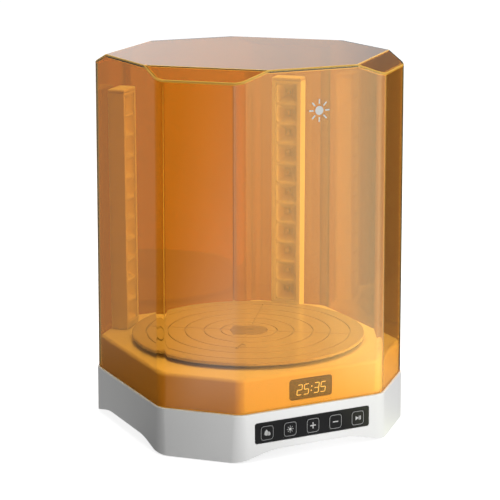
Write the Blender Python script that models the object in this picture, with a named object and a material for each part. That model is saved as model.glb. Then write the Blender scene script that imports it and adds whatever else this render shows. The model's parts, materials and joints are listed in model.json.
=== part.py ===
"""Curing lamp for resin prints, as an assembly of separate pieces.

A white octagonal base holds the electronics and a geared motor. The motor turns a round
turntable on a raised deck. Two lamp columns stand at the back corners of the deck and face
the turntable. An orange hood that shields the light stands loose on the ledge of the base.
Metres, +Z up, origin on the floor under the turntable's axis, the keys towards -Y.
"""

import math

import bmesh
import bpy
from mathutils import Matrix
from mathutils import Vector

# Driving dimensions
GAP = 0.0003              # clearance between pieces that touch
OVERLAP = 0.001           # how far shapes that are joined or cut reach past one another
EIGHTH = math.radians(45)
ROUND_STEPS = 3           # segments in each rounded upright edge

# Base shell: an octagon with four wide faces and four narrow corner faces
BASE_HALF = 0.1159        # centre to wide face, at the ledge
BASE_FLARE = 0.0008       # how much further out the foot of each face is
BASE_FACE = 0.0663        # half the length of a wide face
BASE_ROUND = 0.0140       # rounding of the upright edges at the ledge
FOOT_ROUND = 0.0200       # the same at the foot
BASE_WALL = 0.0025
FOOT_Z = 0.0006           # underside of the shell's corners
ARCH_RISE = 0.0078        # how far the wide faces arch up between the corners
ARCH_FLAT = 0.0300        # half length of the level part of an arch
ARCH_END = 0.0750         # where an arch comes down to the foot of the corner
LEDGE_Z = 0.0405
LEDGE_INNER = 0.1000      # centre to the ledge's inner edge
LEDGE_FACE = 0.0584       # half the length of that edge along a wide face
LEDGE_ROUND = 0.0050
EDGE = 0.0008             # small rounding of moulded edges
SOLE_Z = 0.0018
SOLE_THICK = 0.0025
SOLE_INNER = 0.0700       # a sole fills its corner from here outwards
PAD_RADIUS = 0.0090
PAD_HEIGHT = SOLE_Z - GAP
PAD_PLACE = 0.0795

# Power inlet in the back wall
INLET_PLACE = 0.0300
INLET_Z = 0.0230
INLET_BACK = 0.1159
INLET_SIZE = (0.0090, 0.0126, 0.0100)
INLET_BORE = 0.0032
INLET_FLOOR = 0.0100      # how deep the bore is
INLET_PIN = 0.0010

# Floor plate
PLATE_Z = 0.0085
PLATE_THICK = 0.0022
PLATE_FACE = 0.06505

# Main board: places are X and Y, heights are above the board
BOARD_Z = 0.0160
BOARD_SIZE = (0.0700, 0.0460, 0.0016)
BOARD_PLACE = (-0.0100, 0.0700)
BOARD_POSTS = ((-0.0410, 0.0700), (0.0210, 0.0700))
BOARD_POST_RADIUS = 0.0030
BOARD_THICK = 0.0016      # thickness of every board
CHIP_PLACE = (-0.0100, 0.0720)
CHIP_SIZE = (0.0100, 0.0100, 0.0020)
CAPACITOR_PLACE = (-0.0300, 0.0820)
CAPACITOR_RADIUS = 0.0045
CAPACITOR_HEIGHT = 0.0120
BUZZER_PLACE = (-0.0280, 0.0570)
BUZZER_RADIUS = 0.0060
BUZZER_HEIGHT = 0.0085
HEADER_PLACE = (0.0080, 0.0550)
HEADER_SIZE = (0.0240, 0.0060, 0.0080)

# Deck
DECK_HALF = 0.1112
DECK_FACE = 0.0642
DECK_ROUND = 0.0110
DECK_Z = 0.0693
DECK_WALL = 0.0022
DECK_EDGE = 0.0030
POST_PLACE = 0.0520
POST_RADIUS = 0.0042
POST_BORE_TOP = 0.0290    # how high the screw holes in the posts reach
EAR_POST_RADIUS = 0.0036
EAR_BORE_TOP = 0.0640
DECK_OPENING = 0.0065     # radius of the opening for the bush

# Display in the front skirt of the deck
DISPLAY_Z = 0.0544
LENS_SIZE = (0.0390, 0.0010, 0.0172)
LENS_ROUND = 0.0025
LENS_PROUD = 0.0001       # how far the window stands out of the skirt
MODULE_SIZE = (0.0340, 0.0062, 0.0124)
MODULE_INSET = 0.0020     # skirt's face to the front of the module
MODULE_OPENING = (0.0350, 0.0060, 0.0132)
RIB_PLACE = 0.0215        # ribs either side of the module
RIB_SIZE = (0.0024, 0.0070, 0.0100)
RIB_INSET = 0.0054
DISPLAY_BOARD_SIZE = (0.0400, 0.0016, 0.0200)

# Key strip
STRIP_Z = 0.0237
STRIP_FRONT = 0.1164
STRIP_SIZE = (0.1058, 0.0012, 0.0172)
STRIP_ROUND = 0.0020
STRIP_RECESS = 0.0030     # thickness of the shape that cuts the recess, half of it inside the wall
KEY_PITCH = 0.0211
KEY_Z = 0.0233
KEY_SIZE = (0.0120, 0.0124)
KEY_ROUND = 0.0030
KEY_NAMES = ("droplets", "sun", "plus", "minus", "play_pause")
KEY_PROUD = 0.0001        # how far a key stands out of the strip
KEY_LENGTH = 0.0032       # strip's face to the flange behind the wall
FLANGE_SIZE = (0.0144, 0.0012, 0.0148)
FLANGE_INSET = 0.0005
STEM_RADIUS = 0.0016
SWITCH_SIZE = (0.0060, 0.0034, 0.0060)
KEY_TRAVEL = 0.0008
KEY_BOARD_FRONT = -0.1053
KEY_BOARD_SIZE = (0.1110, 0.0150)
KEY_POST = 0.0525         # posts that hold the key board, either side of the middle
KEY_POST_RADIUS = 0.0022
KEY_POST_BORE = 0.0060    # how deep the screw holes in these posts are
KEY_SCREW_HOLE = 0.0013
KEY_SCREW_SHANK = 0.0010
KEY_SCREW_LENGTH = 0.0050
KEY_SCREW_HEAD = (0.0022, 0.0014)

# Turntable, shaft and motor
TABLE_RADIUS = 0.0996
TABLE_TOP = 0.0752
TABLE_THICK = 0.0028
TABLE_STEPS = 56
TABLE_EDGE = 0.0007
RIM_INNER = 0.0930        # where the rim under the plate starts
RIM_FULL = 0.0975
RIM_CHAMFER = 0.0006
TABLE_OPENING = 0.0065
TABLE_SEAT = 0.0743       # floor of the recess for the centre cap
CAP_RADIUS = 0.0155
CAP_PROUD = 0.0003
CAP_EDGE = 0.0004
SHAFT_RADIUS = 0.0035
SHAFT_LOW = 0.0573
SHAFT_TOP = 0.0738
BUSH_RADIUS = 0.0062
BUSH_FLANGE = 0.0078
BUSH_LOW = 0.0655
BUSH_TOP = 0.0706
HUB_RADIUS = 0.0140
HUB_NECK = 0.0062
HUB_TOP = 0.0740
MOTOR_TOP = 0.0560
MOTOR_RADIUS = 0.0230
MOTOR_HEIGHT = 0.0170
BOSS_RADIUS = 0.0062      # round boss on the motor, which the shaft goes into
BOSS_TOP = 0.0600
BOSS_FLOOR = 0.0570
EAR_PLACE = 0.0275
EAR_SIZE = (0.0640, 0.0120, 0.0016)
EAR_DROP = 0.0010         # top of the motor to the middle of its ears

# Lamp columns at the two back corners
COLUMN_FRONT = 0.1062     # axis of the turntable to the front of a column
COLUMN_DEPTH = 0.0148
COLUMN_WIDTH = 0.0270
COLUMN_TOP = 0.2815
CAP_THICK = 0.0028
RECESS_WIDTH = 0.0206
RECESS_BOTTOM = 0.0755
CELL_COUNT = 11
CELL_PITCH = 0.0182
BACK_WALL = 0.0016
COLUMN_SCREW = 0.0085     # screws either side of a column's middle
COLUMN_BORE_TOP = 0.0747
SCREW_RADIUS = COLUMN_FRONT + 0.0070
LEAD_RADIUS = COLUMN_FRONT + 0.0116
LEAD_HOLE = 0.0017
REFLECTOR_FRONT = COLUMN_FRONT + 0.0008
REFLECTOR_DEPTH = 0.0070
CUP_MOUTH = (0.0192, 0.0172)
CUP_FLOOR = (0.0060, 0.0050)
LAMP_BOARD_FRONT = REFLECTOR_FRONT + REFLECTOR_DEPTH + GAP
LAMP_SIZE = (0.0036, 0.0016, 0.0030)
LAMP_PROUD = 0.0002       # board's face to the middle of a lamp

# Leads: a lamp lead's first knots are factors on the X and Y of its column's foot, with a height
LEAD_THICK = 0.0012
LEAD_DROP = ((1.00, 1.00, 0.0775), (1.00, 1.00, 0.0660), (0.94, 0.94, 0.0560), (0.84, 0.88, 0.0420),
             (0.70, 0.86, 0.0330))
LEAD_CROSSING = (0.45, 0.0650, 0.0330)
LEAD_SPREAD = 0.0080
LEAD_ENDS = ((0.0560, 0.0300), (0.0550, 0.0266))
MOTOR_ROUTE = ((0.0, 0.0234, 0.0450), (0.0, 0.0300, 0.0448), (0.0040, 0.0440, 0.0400),
               (0.0080, 0.0530, 0.0320), (0.0080, 0.0550, 0.0263))

# Hood
HOOD_HALF_FOOT = 0.1148
HOOD_FACE_FOOT = 0.0659
HOOD_HALF_TOP = 0.1131
HOOD_FACE_TOP = 0.0649
HOOD_ROUND = 0.0125
HOOD_WALL = 0.0026
HOOD_SHOULDER = 0.3075    # top of the corner faces, where the sloping facets start
HOOD_TOP = 0.3164
HOOD_CREST = 0.0393       # half the length of a wide face's level top edge

# Screws
SCREW_HOLE = 0.0018
SCREW_SHANK = SCREW_HOLE - GAP
SCREW_HEAD = 0.0030
SCREW_HEAD_HEIGHT = 0.0020
SCREW_TIP = 0.0010
BOTTOM_SCREW_LENGTH = 0.0180
MOTOR_SCREW_LENGTH = 0.0085
COLUMN_SCREW_LENGTH = 0.0075


# ---------------------------------------------------------------- materials

def plastic(name, colour, roughness, metallic=0.0):
    material = bpy.data.materials.new(name)
    material.use_nodes = True
    shader = material.node_tree.nodes["Principled BSDF"]
    shader.inputs["Base Color"].default_value = (*colour, 1.0)
    shader.inputs["Roughness"].default_value = roughness
    shader.inputs["Metallic"].default_value = metallic
    return material


# ---------------------------------------------------------------- mesh helpers

def octagon(half, face, radius, stations=()):
    """Outline of an octagon with rounded corners, anticlockwise from the +X face.

    half is the distance to the wide faces, face is half the length of a wide face, and
    stations are extra points along each wide face, measured from its middle.
    """
    corner = (half + face) * math.sqrt(0.5)
    points = []
    for index in range(8):
        normal = index * EIGHTH
        this_side, next_side = (half, corner) if index % 2 == 0 else (corner, half)
        along = (next_side - this_side * math.cos(EIGHTH)) / math.sin(EIGHTH)
        out = Vector((math.cos(normal), math.sin(normal)))
        side = Vector((-math.sin(normal), math.cos(normal)))
        if index % 2 == 0:
            points += [out * half + side * station for station in stations]
        middle = normal + EIGHTH / 2
        bisector = Vector((math.cos(middle), math.sin(middle)))
        centre = out * this_side + side * along - bisector * radius / math.cos(EIGHTH / 2)
        for step in range(ROUND_STEPS + 1):
            angle = normal + EIGHTH * step / ROUND_STEPS
            points.append(centre + radius * Vector((math.cos(angle), math.sin(angle))))
    return points


def at_height(outline, height):
    return [(x, y, height) for x, y in outline]


def loft(bm, rings, closed=False):
    """Skin a stack of rings that all have the same number of points."""
    loops = [[bm.verts.new(point) for point in ring] for ring in rings]
    pairs = list(zip(loops, loops[1:]))
    if closed:
        pairs.append((loops[-1], loops[0]))
    count = len(loops[0])
    for lower, upper in pairs:
        for here in range(count):
            there = (here + 1) % count
            bm.faces.new((lower[here], lower[there], upper[there], upper[here]))
    if not closed:
        bm.faces.new(loops[0][::-1])
        bm.faces.new(loops[-1])


def box(bm, centre, size, turn=Matrix()):
    place = turn @ Matrix.Translation(centre) @ Matrix.Diagonal((*size, 1.0))
    bmesh.ops.create_cube(bm, size=1.0, matrix=place)


def rod(bm, start, end, radius, steps=16, turn=Matrix()):
    """Cylinder between two points."""
    start, end = Vector(start), Vector(end)
    axis = end - start
    aim = axis.to_track_quat("Z", "Y").to_matrix().to_4x4()
    place = turn @ Matrix.Translation((start + end) / 2) @ aim
    bmesh.ops.create_cone(bm, cap_ends=True, segments=steps, radius1=radius, radius2=radius,
                          depth=axis.length, matrix=place)


def rounded_plate(bm, centre, size, radius, steps=4):
    """Flat plate in the XZ plane with rounded corners; size is width, thickness, height."""
    width, thick, height = size
    corners = ((1, 1, 0), (-1, 1, 90), (-1, -1, 180), (1, -1, 270))
    outline = []
    for side, level, start in corners:
        for step in range(steps + 1):
            angle = math.radians(start + 90 * step / steps)
            across = side * (width / 2 - radius) + radius * math.cos(angle)
            up = level * (height / 2 - radius) + radius * math.sin(angle)
            outline.append((across, up))
    rings = [[(centre[0] + across, centre[1] + depth, centre[2] + up) for across, up in outline]
             for depth in (thick / 2, -thick / 2)]
    loft(bm, rings)


def turned(bm, profile, steps, centre=(0.0, 0.0)):
    """Spin a closed outline of (radius, height) points round an upright axis."""
    verts = [bm.verts.new((centre[0] + radius, centre[1], height)) for radius, height in profile]
    edges = [bm.edges.new((verts[index - 1], verts[index])) for index in range(len(verts))]
    bmesh.ops.spin(bm, geom=verts + edges, cent=(*centre, 0.0), axis=(0.0, 0.0, 1.0),
                   angle=math.tau, steps=steps, use_merge=True)


def turned_solid(bm, profile, steps, centre=(0.0, 0.0)):
    """Spin an open outline that starts and ends on the axis, low end first."""
    verts = [bm.verts.new((centre[0] + radius, centre[1], height)) for radius, height in profile]
    edges = [bm.edges.new(pair) for pair in zip(verts, verts[1:])]
    bmesh.ops.spin(bm, geom=verts + edges, cent=(*centre, 0.0), axis=(0.0, 0.0, 1.0),
                   angle=math.tau, steps=steps, use_merge=True)
    bmesh.ops.remove_doubles(bm, verts=bm.verts[:], dist=1e-6)


def clip(bm, point, normal):
    """Cut off what lies beyond a plane and close the cut."""
    geometry = bm.verts[:] + bm.edges[:] + bm.faces[:]
    result = bmesh.ops.bisect_plane(bm, geom=geometry, dist=1e-7, plane_co=point,
                                    plane_no=normal, clear_outer=True)
    rim = [item for item in result["geom_cut"] if isinstance(item, bmesh.types.BMEdge)]
    bmesh.ops.contextual_create(bm, geom=rim)


def finish(name, bm, material, parent=None):
    """Make an object of a bmesh; its origin goes to its parent's, which is its joint's axis."""
    bmesh.ops.recalc_face_normals(bm, faces=bm.faces[:])
    mesh = bpy.data.meshes.new(name)
    bm.to_mesh(mesh)
    bm.free()
    mesh.materials.append(material)
    mesh.shade_smooth()
    mesh.set_sharp_from_angle(angle=math.radians(30))
    piece = bpy.data.objects.new(name, mesh)
    bpy.context.collection.objects.link(piece)
    if parent is not None:
        mesh.transform(Matrix.Translation(-parent.location))
        piece.parent = parent
    return piece


def combine(piece, bm, operation):
    """Join a shape to a piece, or cut it away, with a hidden tool object."""
    tool = finish(f"{piece.name}_{operation.lower()}_tool", bm, piece.data.materials[0], piece.parent)
    tool.hide_render = True
    tool.display_type = "WIRE"
    modifier = piece.modifiers.new(operation.title(), "BOOLEAN")
    modifier.operation = operation
    modifier.solver = "EXACT"
    modifier.object = tool


def cut(piece, bm):
    combine(piece, bm, "DIFFERENCE")


def join(piece, bm):
    combine(piece, bm, "UNION")


def joint_empty(name, location):
    empty = bpy.data.objects.new(name, None)
    empty.location = location
    bpy.context.collection.objects.link(empty)
    return empty


def screw(name, place, head_z, length, material, turn=Matrix()):
    """Pan head screw driven upwards; head_z is the underside of what it clamps."""
    bm = bmesh.new()
    across, along = place
    face = head_z - SCREW_HEAD_HEIGHT
    shoulder = head_z - SCREW_HEAD_HEIGHT * 0.6
    tip = head_z + length
    profile = (
        (0.0, face), (SCREW_HEAD * 0.8, face), (SCREW_HEAD, shoulder), (SCREW_HEAD, head_z),
        (SCREW_SHANK, head_z), (SCREW_SHANK, tip - SCREW_TIP), (SCREW_SHANK * 0.4, tip), (0.0, tip),
    )
    turned_solid(bm, profile, 10, (across, along))
    bmesh.ops.transform(bm, matrix=turn, verts=bm.verts[:])
    return finish(name, bm, material)


# ---------------------------------------------------------------- base

def arch_height(point):
    """Underside of the shell: down at the corners, arched up along the wide faces."""
    beside = min(abs(point[0]), abs(point[1]))
    share = (ARCH_END - beside) / (ARCH_END - ARCH_FLAT)
    share = min(1.0, max(0.0, share))
    return FOOT_Z + ARCH_RISE * share * share * (3.0 - 2.0 * share)


def base_shell(material):
    """Outer wall with a ledge on top that carries the deck and the hood."""
    straight = BASE_FACE - FOOT_ROUND * math.tan(EIGHTH / 2) - OVERLAP
    curve = [ARCH_FLAT + (straight - ARCH_FLAT) * step / 6 for step in range(7)]
    stations = [-place for place in reversed(curve)] + curve

    def outline(half, radius=BASE_ROUND):
        face = BASE_FACE + (half - BASE_HALF) * math.tan(EIGHTH / 2)
        return octagon(half, face, radius, stations)

    foot = BASE_HALF + BASE_FLARE
    low_edge = [(x, y, arch_height((x, y))) for x, y in outline(foot - EDGE, FOOT_ROUND - EDGE)]
    low_outer = [(x, y, arch_height((x, y)) + EDGE) for x, y in outline(foot, FOOT_ROUND)]
    low_inner = [(x, y, arch_height((x, y))) for x, y in outline(foot - BASE_WALL, FOOT_ROUND - BASE_WALL)]
    ledge = octagon(LEDGE_INNER, LEDGE_FACE, LEDGE_ROUND, stations)
    rings = [
        low_edge,
        low_outer,
        at_height(outline(BASE_HALF), LEDGE_Z - EDGE),
        at_height(outline(BASE_HALF - EDGE, BASE_ROUND - EDGE), LEDGE_Z),
        at_height(ledge, LEDGE_Z),
        at_height(ledge, LEDGE_Z - BASE_WALL),
        at_height(outline(BASE_HALF - BASE_WALL, BASE_ROUND - BASE_WALL), LEDGE_Z - BASE_WALL),
        low_inner,
    ]
    bm = bmesh.new()
    loft(bm, rings, closed=True)
    shell = finish("base_shell", bm, material)

    # Flat soles that close the corners and carry the rubber pads
    sole = outline(foot - BASE_WALL / 2, FOOT_ROUND - BASE_WALL / 2)
    for quarter in range(4):
        bm = bmesh.new()
        loft(bm, [at_height(sole, SOLE_Z), at_height(sole, SOLE_Z + SOLE_THICK)])
        clip(bm, Vector((SOLE_INNER, 0.0, 0.0)), Vector((-1.0, 0.0, 0.0)))
        clip(bm, Vector((0.0, SOLE_INNER, 0.0)), Vector((0.0, -1.0, 0.0)))
        turn = Matrix.Rotation(quarter * math.pi / 2, 3, "Z")
        bmesh.ops.rotate(bm, verts=bm.verts, cent=Vector(), matrix=turn)
        join(shell, bm)
    # Two posts behind the front wall for the key board
    bm = bmesh.new()
    for side in (-1, 1):
        rod(bm, (side * KEY_POST, -STRIP_FRONT + BASE_WALL, STRIP_Z),
            (side * KEY_POST, KEY_BOARD_FRONT - GAP, STRIP_Z), KEY_POST_RADIUS, 12)
    join(shell, bm)

    # Recess for the key strip, the key openings, the screw holes and the power inlet
    bm = bmesh.new()
    clear = 2 * GAP
    rounded_plate(bm, (0.0, -STRIP_FRONT, STRIP_Z),
                  (STRIP_SIZE[0] + clear, STRIP_RECESS, STRIP_SIZE[2] + clear), STRIP_ROUND + GAP)
    cut(shell, bm)
    bm = bmesh.new()
    for place in key_places():
        rounded_plate(bm, (place, -STRIP_FRONT + 2 * OVERLAP, KEY_Z),
                      (KEY_SIZE[0] + clear, 8 * OVERLAP, KEY_SIZE[1] + clear), KEY_ROUND)
    for side in (-1, 1):
        rod(bm, (side * KEY_POST, KEY_BOARD_FRONT - KEY_POST_BORE, STRIP_Z),
            (side * KEY_POST, KEY_BOARD_FRONT + OVERLAP, STRIP_Z), KEY_SCREW_HOLE, 10)
    box(bm, (INLET_PLACE, INLET_BACK - OVERLAP, INLET_Z),
        (INLET_SIZE[0] + clear, 8 * OVERLAP, INLET_SIZE[2] + clear))
    cut(shell, bm)
    return shell


def key_places():
    middle = (len(KEY_NAMES) - 1) / 2
    return [(index - middle) * KEY_PITCH for index in range(len(KEY_NAMES))]


def bottom_plate(material):
    """Plate that closes the base from below, with two posts for the main board."""
    half = BASE_HALF - BASE_WALL - 2 * GAP
    bm = bmesh.new()
    outline = octagon(half, PLATE_FACE, FOOT_ROUND - BASE_WALL)
    loft(bm, [at_height(outline, PLATE_Z), at_height(outline, PLATE_Z + PLATE_THICK)])
    plate = finish("bottom_plate", bm, material)
    bm = bmesh.new()
    for across, along in BOARD_POSTS:
        rod(bm, (across, along, PLATE_Z + OVERLAP), (across, along, BOARD_Z - GAP), BOARD_POST_RADIUS, 12)
    join(plate, bm)
    bm = bmesh.new()
    for across in (-POST_PLACE, POST_PLACE):
        for along in (-POST_PLACE, POST_PLACE):
            rod(bm, (across, along, PLATE_Z - 2 * OVERLAP), (across, along, PLATE_Z + 4 * OVERLAP),
                SCREW_HOLE, 10)
    cut(plate, bm)
    return plate


def main_board(green, black, grey):
    """Circuit board on the floor plate, with its larger parts."""
    bm = bmesh.new()
    box(bm, (*BOARD_PLACE, BOARD_Z + BOARD_SIZE[2] / 2), BOARD_SIZE)
    finish("main_board", bm, green)
    low = BOARD_Z + BOARD_SIZE[2] + GAP
    bm = bmesh.new()
    box(bm, (*CHIP_PLACE, low + CHIP_SIZE[2] / 2), CHIP_SIZE)
    finish("control_chip", bm, black)
    bm = bmesh.new()
    rod(bm, (*CAPACITOR_PLACE, low), (*CAPACITOR_PLACE, low + CAPACITOR_HEIGHT), CAPACITOR_RADIUS)
    finish("capacitor", bm, black)
    bm = bmesh.new()
    rod(bm, (*BUZZER_PLACE, low), (*BUZZER_PLACE, low + BUZZER_HEIGHT), BUZZER_RADIUS)
    finish("buzzer", bm, black)
    bm = bmesh.new()
    box(bm, (*HEADER_PLACE, low + HEADER_SIZE[2] / 2), HEADER_SIZE)
    finish("lead_header", bm, grey)


def power_inlet(material):
    """Socket for a barrel plug, with its centre pin."""
    bm = bmesh.new()
    box(bm, (INLET_PLACE, INLET_BACK - INLET_SIZE[1] / 2, INLET_Z), INLET_SIZE)
    inlet = finish("power_inlet", bm, material)
    bm = bmesh.new()
    rod(bm, (INLET_PLACE, INLET_BACK + OVERLAP, INLET_Z),
        (INLET_PLACE, INLET_BACK - INLET_FLOOR, INLET_Z), INLET_BORE)
    cut(inlet, bm)
    bm = bmesh.new()
    rod(bm, (INLET_PLACE, INLET_BACK - INLET_FLOOR - OVERLAP, INLET_Z),
        (INLET_PLACE, INLET_BACK - 2 * OVERLAP, INLET_Z), INLET_PIN, 10)
    join(inlet, bm)
    return inlet


def rubber_pads(material):
    """Round pad under each corner."""
    names = ("back_right", "back_left", "front_left", "front_right")
    for index, name in enumerate(names):
        angle = EIGHTH + index * math.pi / 2
        reach = PAD_PLACE * math.sqrt(2.0)
        centre = (reach * math.cos(angle), reach * math.sin(angle))
        bm = bmesh.new()
        rod(bm, (*centre, 0.0), (*centre, PAD_HEIGHT), PAD_RADIUS, 24)
        finish(f"rubber_pad_{name}", bm, material)


# ---------------------------------------------------------------- keys

def key_strip(material):
    """Strip let into the front wall, open where the keys are."""
    bm = bmesh.new()
    middle = -STRIP_FRONT + STRIP_SIZE[1] / 2
    rounded_plate(bm, (0.0, middle, STRIP_Z), STRIP_SIZE, STRIP_ROUND)
    strip = finish("key_strip", bm, material)
    bm = bmesh.new()
    for place in key_places():
        rounded_plate(bm, (place, middle, KEY_Z),
                      (KEY_SIZE[0] + 2 * GAP, 6 * OVERLAP, KEY_SIZE[1] + 2 * GAP), KEY_ROUND)
    cut(strip, bm)
    return strip


def key(name, place, material):
    """Key cap with a flange behind the wall and a stem that presses its switch."""
    empty = joint_empty(f"{name}_axis", (place, -STRIP_FRONT, KEY_Z))
    bm = bmesh.new()
    front = -STRIP_FRONT - KEY_PROUD
    flange = -STRIP_FRONT + KEY_LENGTH
    stem = KEY_BOARD_FRONT - GAP - SWITCH_SIZE[1] - KEY_TRAVEL - GAP
    rounded_plate(bm, (place, (front + flange) / 2, KEY_Z),
                  (KEY_SIZE[0], flange - front, KEY_SIZE[1]), KEY_ROUND)
    cap = finish(name, bm, material, empty)
    bm = bmesh.new()
    rounded_plate(bm, (place, flange + FLANGE_INSET, KEY_Z), FLANGE_SIZE, KEY_ROUND)
    rod(bm, (place, flange, KEY_Z), (place, stem, KEY_Z), STEM_RADIUS, 10)
    join(cap, bm)
    return cap


def key_board(green, black, steel):
    """Board behind the keys with their switches, and the two screws that hold it."""
    bm = bmesh.new()
    front = KEY_BOARD_FRONT
    box(bm, (0.0, front + BOARD_THICK / 2, STRIP_Z), (KEY_BOARD_SIZE[0], BOARD_THICK, KEY_BOARD_SIZE[1]))
    board = finish("key_board", bm, green)
    bm = bmesh.new()
    for side in (-1, 1):
        rod(bm, (side * KEY_POST, front - 2 * OVERLAP, STRIP_Z),
            (side * KEY_POST, front + 4 * OVERLAP, STRIP_Z), KEY_SCREW_HOLE, 10)
    cut(board, bm)
    for name, place in zip(KEY_NAMES, key_places()):
        bm = bmesh.new()
        middle = front - GAP - SWITCH_SIZE[1] / 2
        box(bm, (place, middle, KEY_Z), SWITCH_SIZE)
        finish(f"{name}_switch", bm, black)
    for name, side in (("left", -1), ("right", 1)):
        bm = bmesh.new()
        head = front + BOARD_THICK + GAP
        head_radius, head_height = KEY_SCREW_HEAD
        rod(bm, (side * KEY_POST, head, STRIP_Z), (side * KEY_POST, head + head_height, STRIP_Z),
            head_radius, 10)
        piece = finish(f"key_board_screw_{name}", bm, steel)
        bm = bmesh.new()
        rod(bm, (side * KEY_POST, front - KEY_SCREW_LENGTH, STRIP_Z),
            (side * KEY_POST, head + OVERLAP / 2, STRIP_Z), KEY_SCREW_SHANK, 10)
        join(piece, bm)


# ---------------------------------------------------------------- deck

def deck(material):
    """Raised platform inside the hood, a lid with a skirt and posts below."""
    def outline(half):
        face = DECK_FACE + (half - DECK_HALF) * math.tan(EIGHTH / 2)
        return octagon(half, face, DECK_ROUND + (half - DECK_HALF) * 0.5)

    low = LEDGE_Z + GAP
    under = DECK_Z - DECK_WALL
    rings = [at_height(outline(DECK_HALF - DECK_WALL), under),
             at_height(outline(DECK_HALF - DECK_WALL), low),
             at_height(outline(DECK_HALF), low),
             at_height(outline(DECK_HALF), DECK_Z - DECK_EDGE)]
    for step in (1, 2, 3):
        angle = math.pi / 2 * step / 3
        inset = DECK_EDGE * (1.0 - math.cos(angle))
        drop = DECK_EDGE * (1.0 - math.sin(angle))
        rings.append(at_height(outline(DECK_HALF - inset), DECK_Z - drop))
    bm = bmesh.new()
    loft(bm, rings)
    lid = finish("deck", bm, material)

    bm = bmesh.new()
    for across in (-POST_PLACE, POST_PLACE):
        for along in (-POST_PLACE, POST_PLACE):
            rod(bm, (across, along, PLATE_Z + PLATE_THICK + GAP), (across, along, under + OVERLAP),
                POST_RADIUS, 12)
    for side in (-1, 1):
        rod(bm, (side * EAR_PLACE, 0.0, MOTOR_TOP + GAP), (side * EAR_PLACE, 0.0, under + OVERLAP),
            EAR_POST_RADIUS, 12)
        box(bm, (side * RIB_PLACE, -DECK_HALF + RIB_INSET, DISPLAY_Z), RIB_SIZE)
    join(lid, bm)

    bm = bmesh.new()
    below, above = under - 2 * OVERLAP, DECK_Z + 2 * OVERLAP
    rod(bm, (0.0, 0.0, below), (0.0, 0.0, above), DECK_OPENING, 24)
    for across in (-POST_PLACE, POST_PLACE):
        for along in (-POST_PLACE, POST_PLACE):
            rod(bm, (across, along, PLATE_Z), (across, along, POST_BORE_TOP), SCREW_HOLE, 10)
    for side in (-1, 1):
        rod(bm, (side * EAR_PLACE, 0.0, MOTOR_TOP - OVERLAP), (side * EAR_PLACE, 0.0, EAR_BORE_TOP),
            SCREW_HOLE, 10)
        turn = column_turn(side)
        for across in (-COLUMN_SCREW, COLUMN_SCREW):
            rod(bm, (across, SCREW_RADIUS, below), (across, SCREW_RADIUS, above), SCREW_HOLE, 10, turn)
        rod(bm, (0.0, LEAD_RADIUS, below), (0.0, LEAD_RADIUS, above), LEAD_HOLE, 10, turn)
    recess = 2 * (LENS_SIZE[1] - LENS_PROUD + GAP)
    rounded_plate(bm, (0.0, -DECK_HALF, DISPLAY_Z),
                  (LENS_SIZE[0] + 2 * GAP, recess, LENS_SIZE[2] + 2 * GAP), LENS_ROUND + GAP)
    cut(lid, bm)
    bm = bmesh.new()
    box(bm, (0.0, -DECK_HALF + MODULE_INSET, DISPLAY_Z), MODULE_OPENING)
    cut(lid, bm)
    return lid


def display(smoke, black, green):
    """Window in the skirt, the lit module behind it and the board it sits on."""
    bm = bmesh.new()
    rounded_plate(bm, (0.0, -DECK_HALF - LENS_PROUD + LENS_SIZE[1] / 2, DISPLAY_Z), LENS_SIZE, LENS_ROUND)
    finish("display_lens", bm, smoke)
    bm = bmesh.new()
    front = -DECK_HALF + MODULE_INSET
    box(bm, (0.0, front + MODULE_SIZE[1] / 2, DISPLAY_Z), MODULE_SIZE)
    finish("display_module", bm, black)
    bm = bmesh.new()
    back = front + MODULE_SIZE[1] + GAP
    box(bm, (0.0, back + DISPLAY_BOARD_SIZE[1] / 2, DISPLAY_Z), DISPLAY_BOARD_SIZE)
    finish("display_board", bm, green)


# ---------------------------------------------------------------- turntable and its drive

def gear_motor(material):
    """Flat geared motor that hangs under the deck by two ears."""
    low = MOTOR_TOP - MOTOR_HEIGHT
    bm = bmesh.new()
    rod(bm, (0.0, 0.0, low), (0.0, 0.0, MOTOR_TOP), MOTOR_RADIUS, 32)
    motor = finish("gear_motor", bm, material)
    bm = bmesh.new()
    rod(bm, (0.0, 0.0, MOTOR_TOP - 2 * OVERLAP), (0.0, 0.0, BOSS_TOP), BOSS_RADIUS, 20)
    box(bm, (0.0, 0.0, MOTOR_TOP - EAR_DROP), EAR_SIZE)
    join(motor, bm)
    bm = bmesh.new()
    rod(bm, (0.0, 0.0, BOSS_FLOOR), (0.0, 0.0, BOSS_TOP + 2 * OVERLAP), SHAFT_RADIUS + GAP, 20)
    for side in (-1, 1):
        rod(bm, (side * EAR_PLACE, 0.0, MOTOR_TOP - 6 * OVERLAP),
            (side * EAR_PLACE, 0.0, MOTOR_TOP + 3 * OVERLAP), SCREW_HOLE, 10)
    cut(motor, bm)
    return motor


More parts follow.
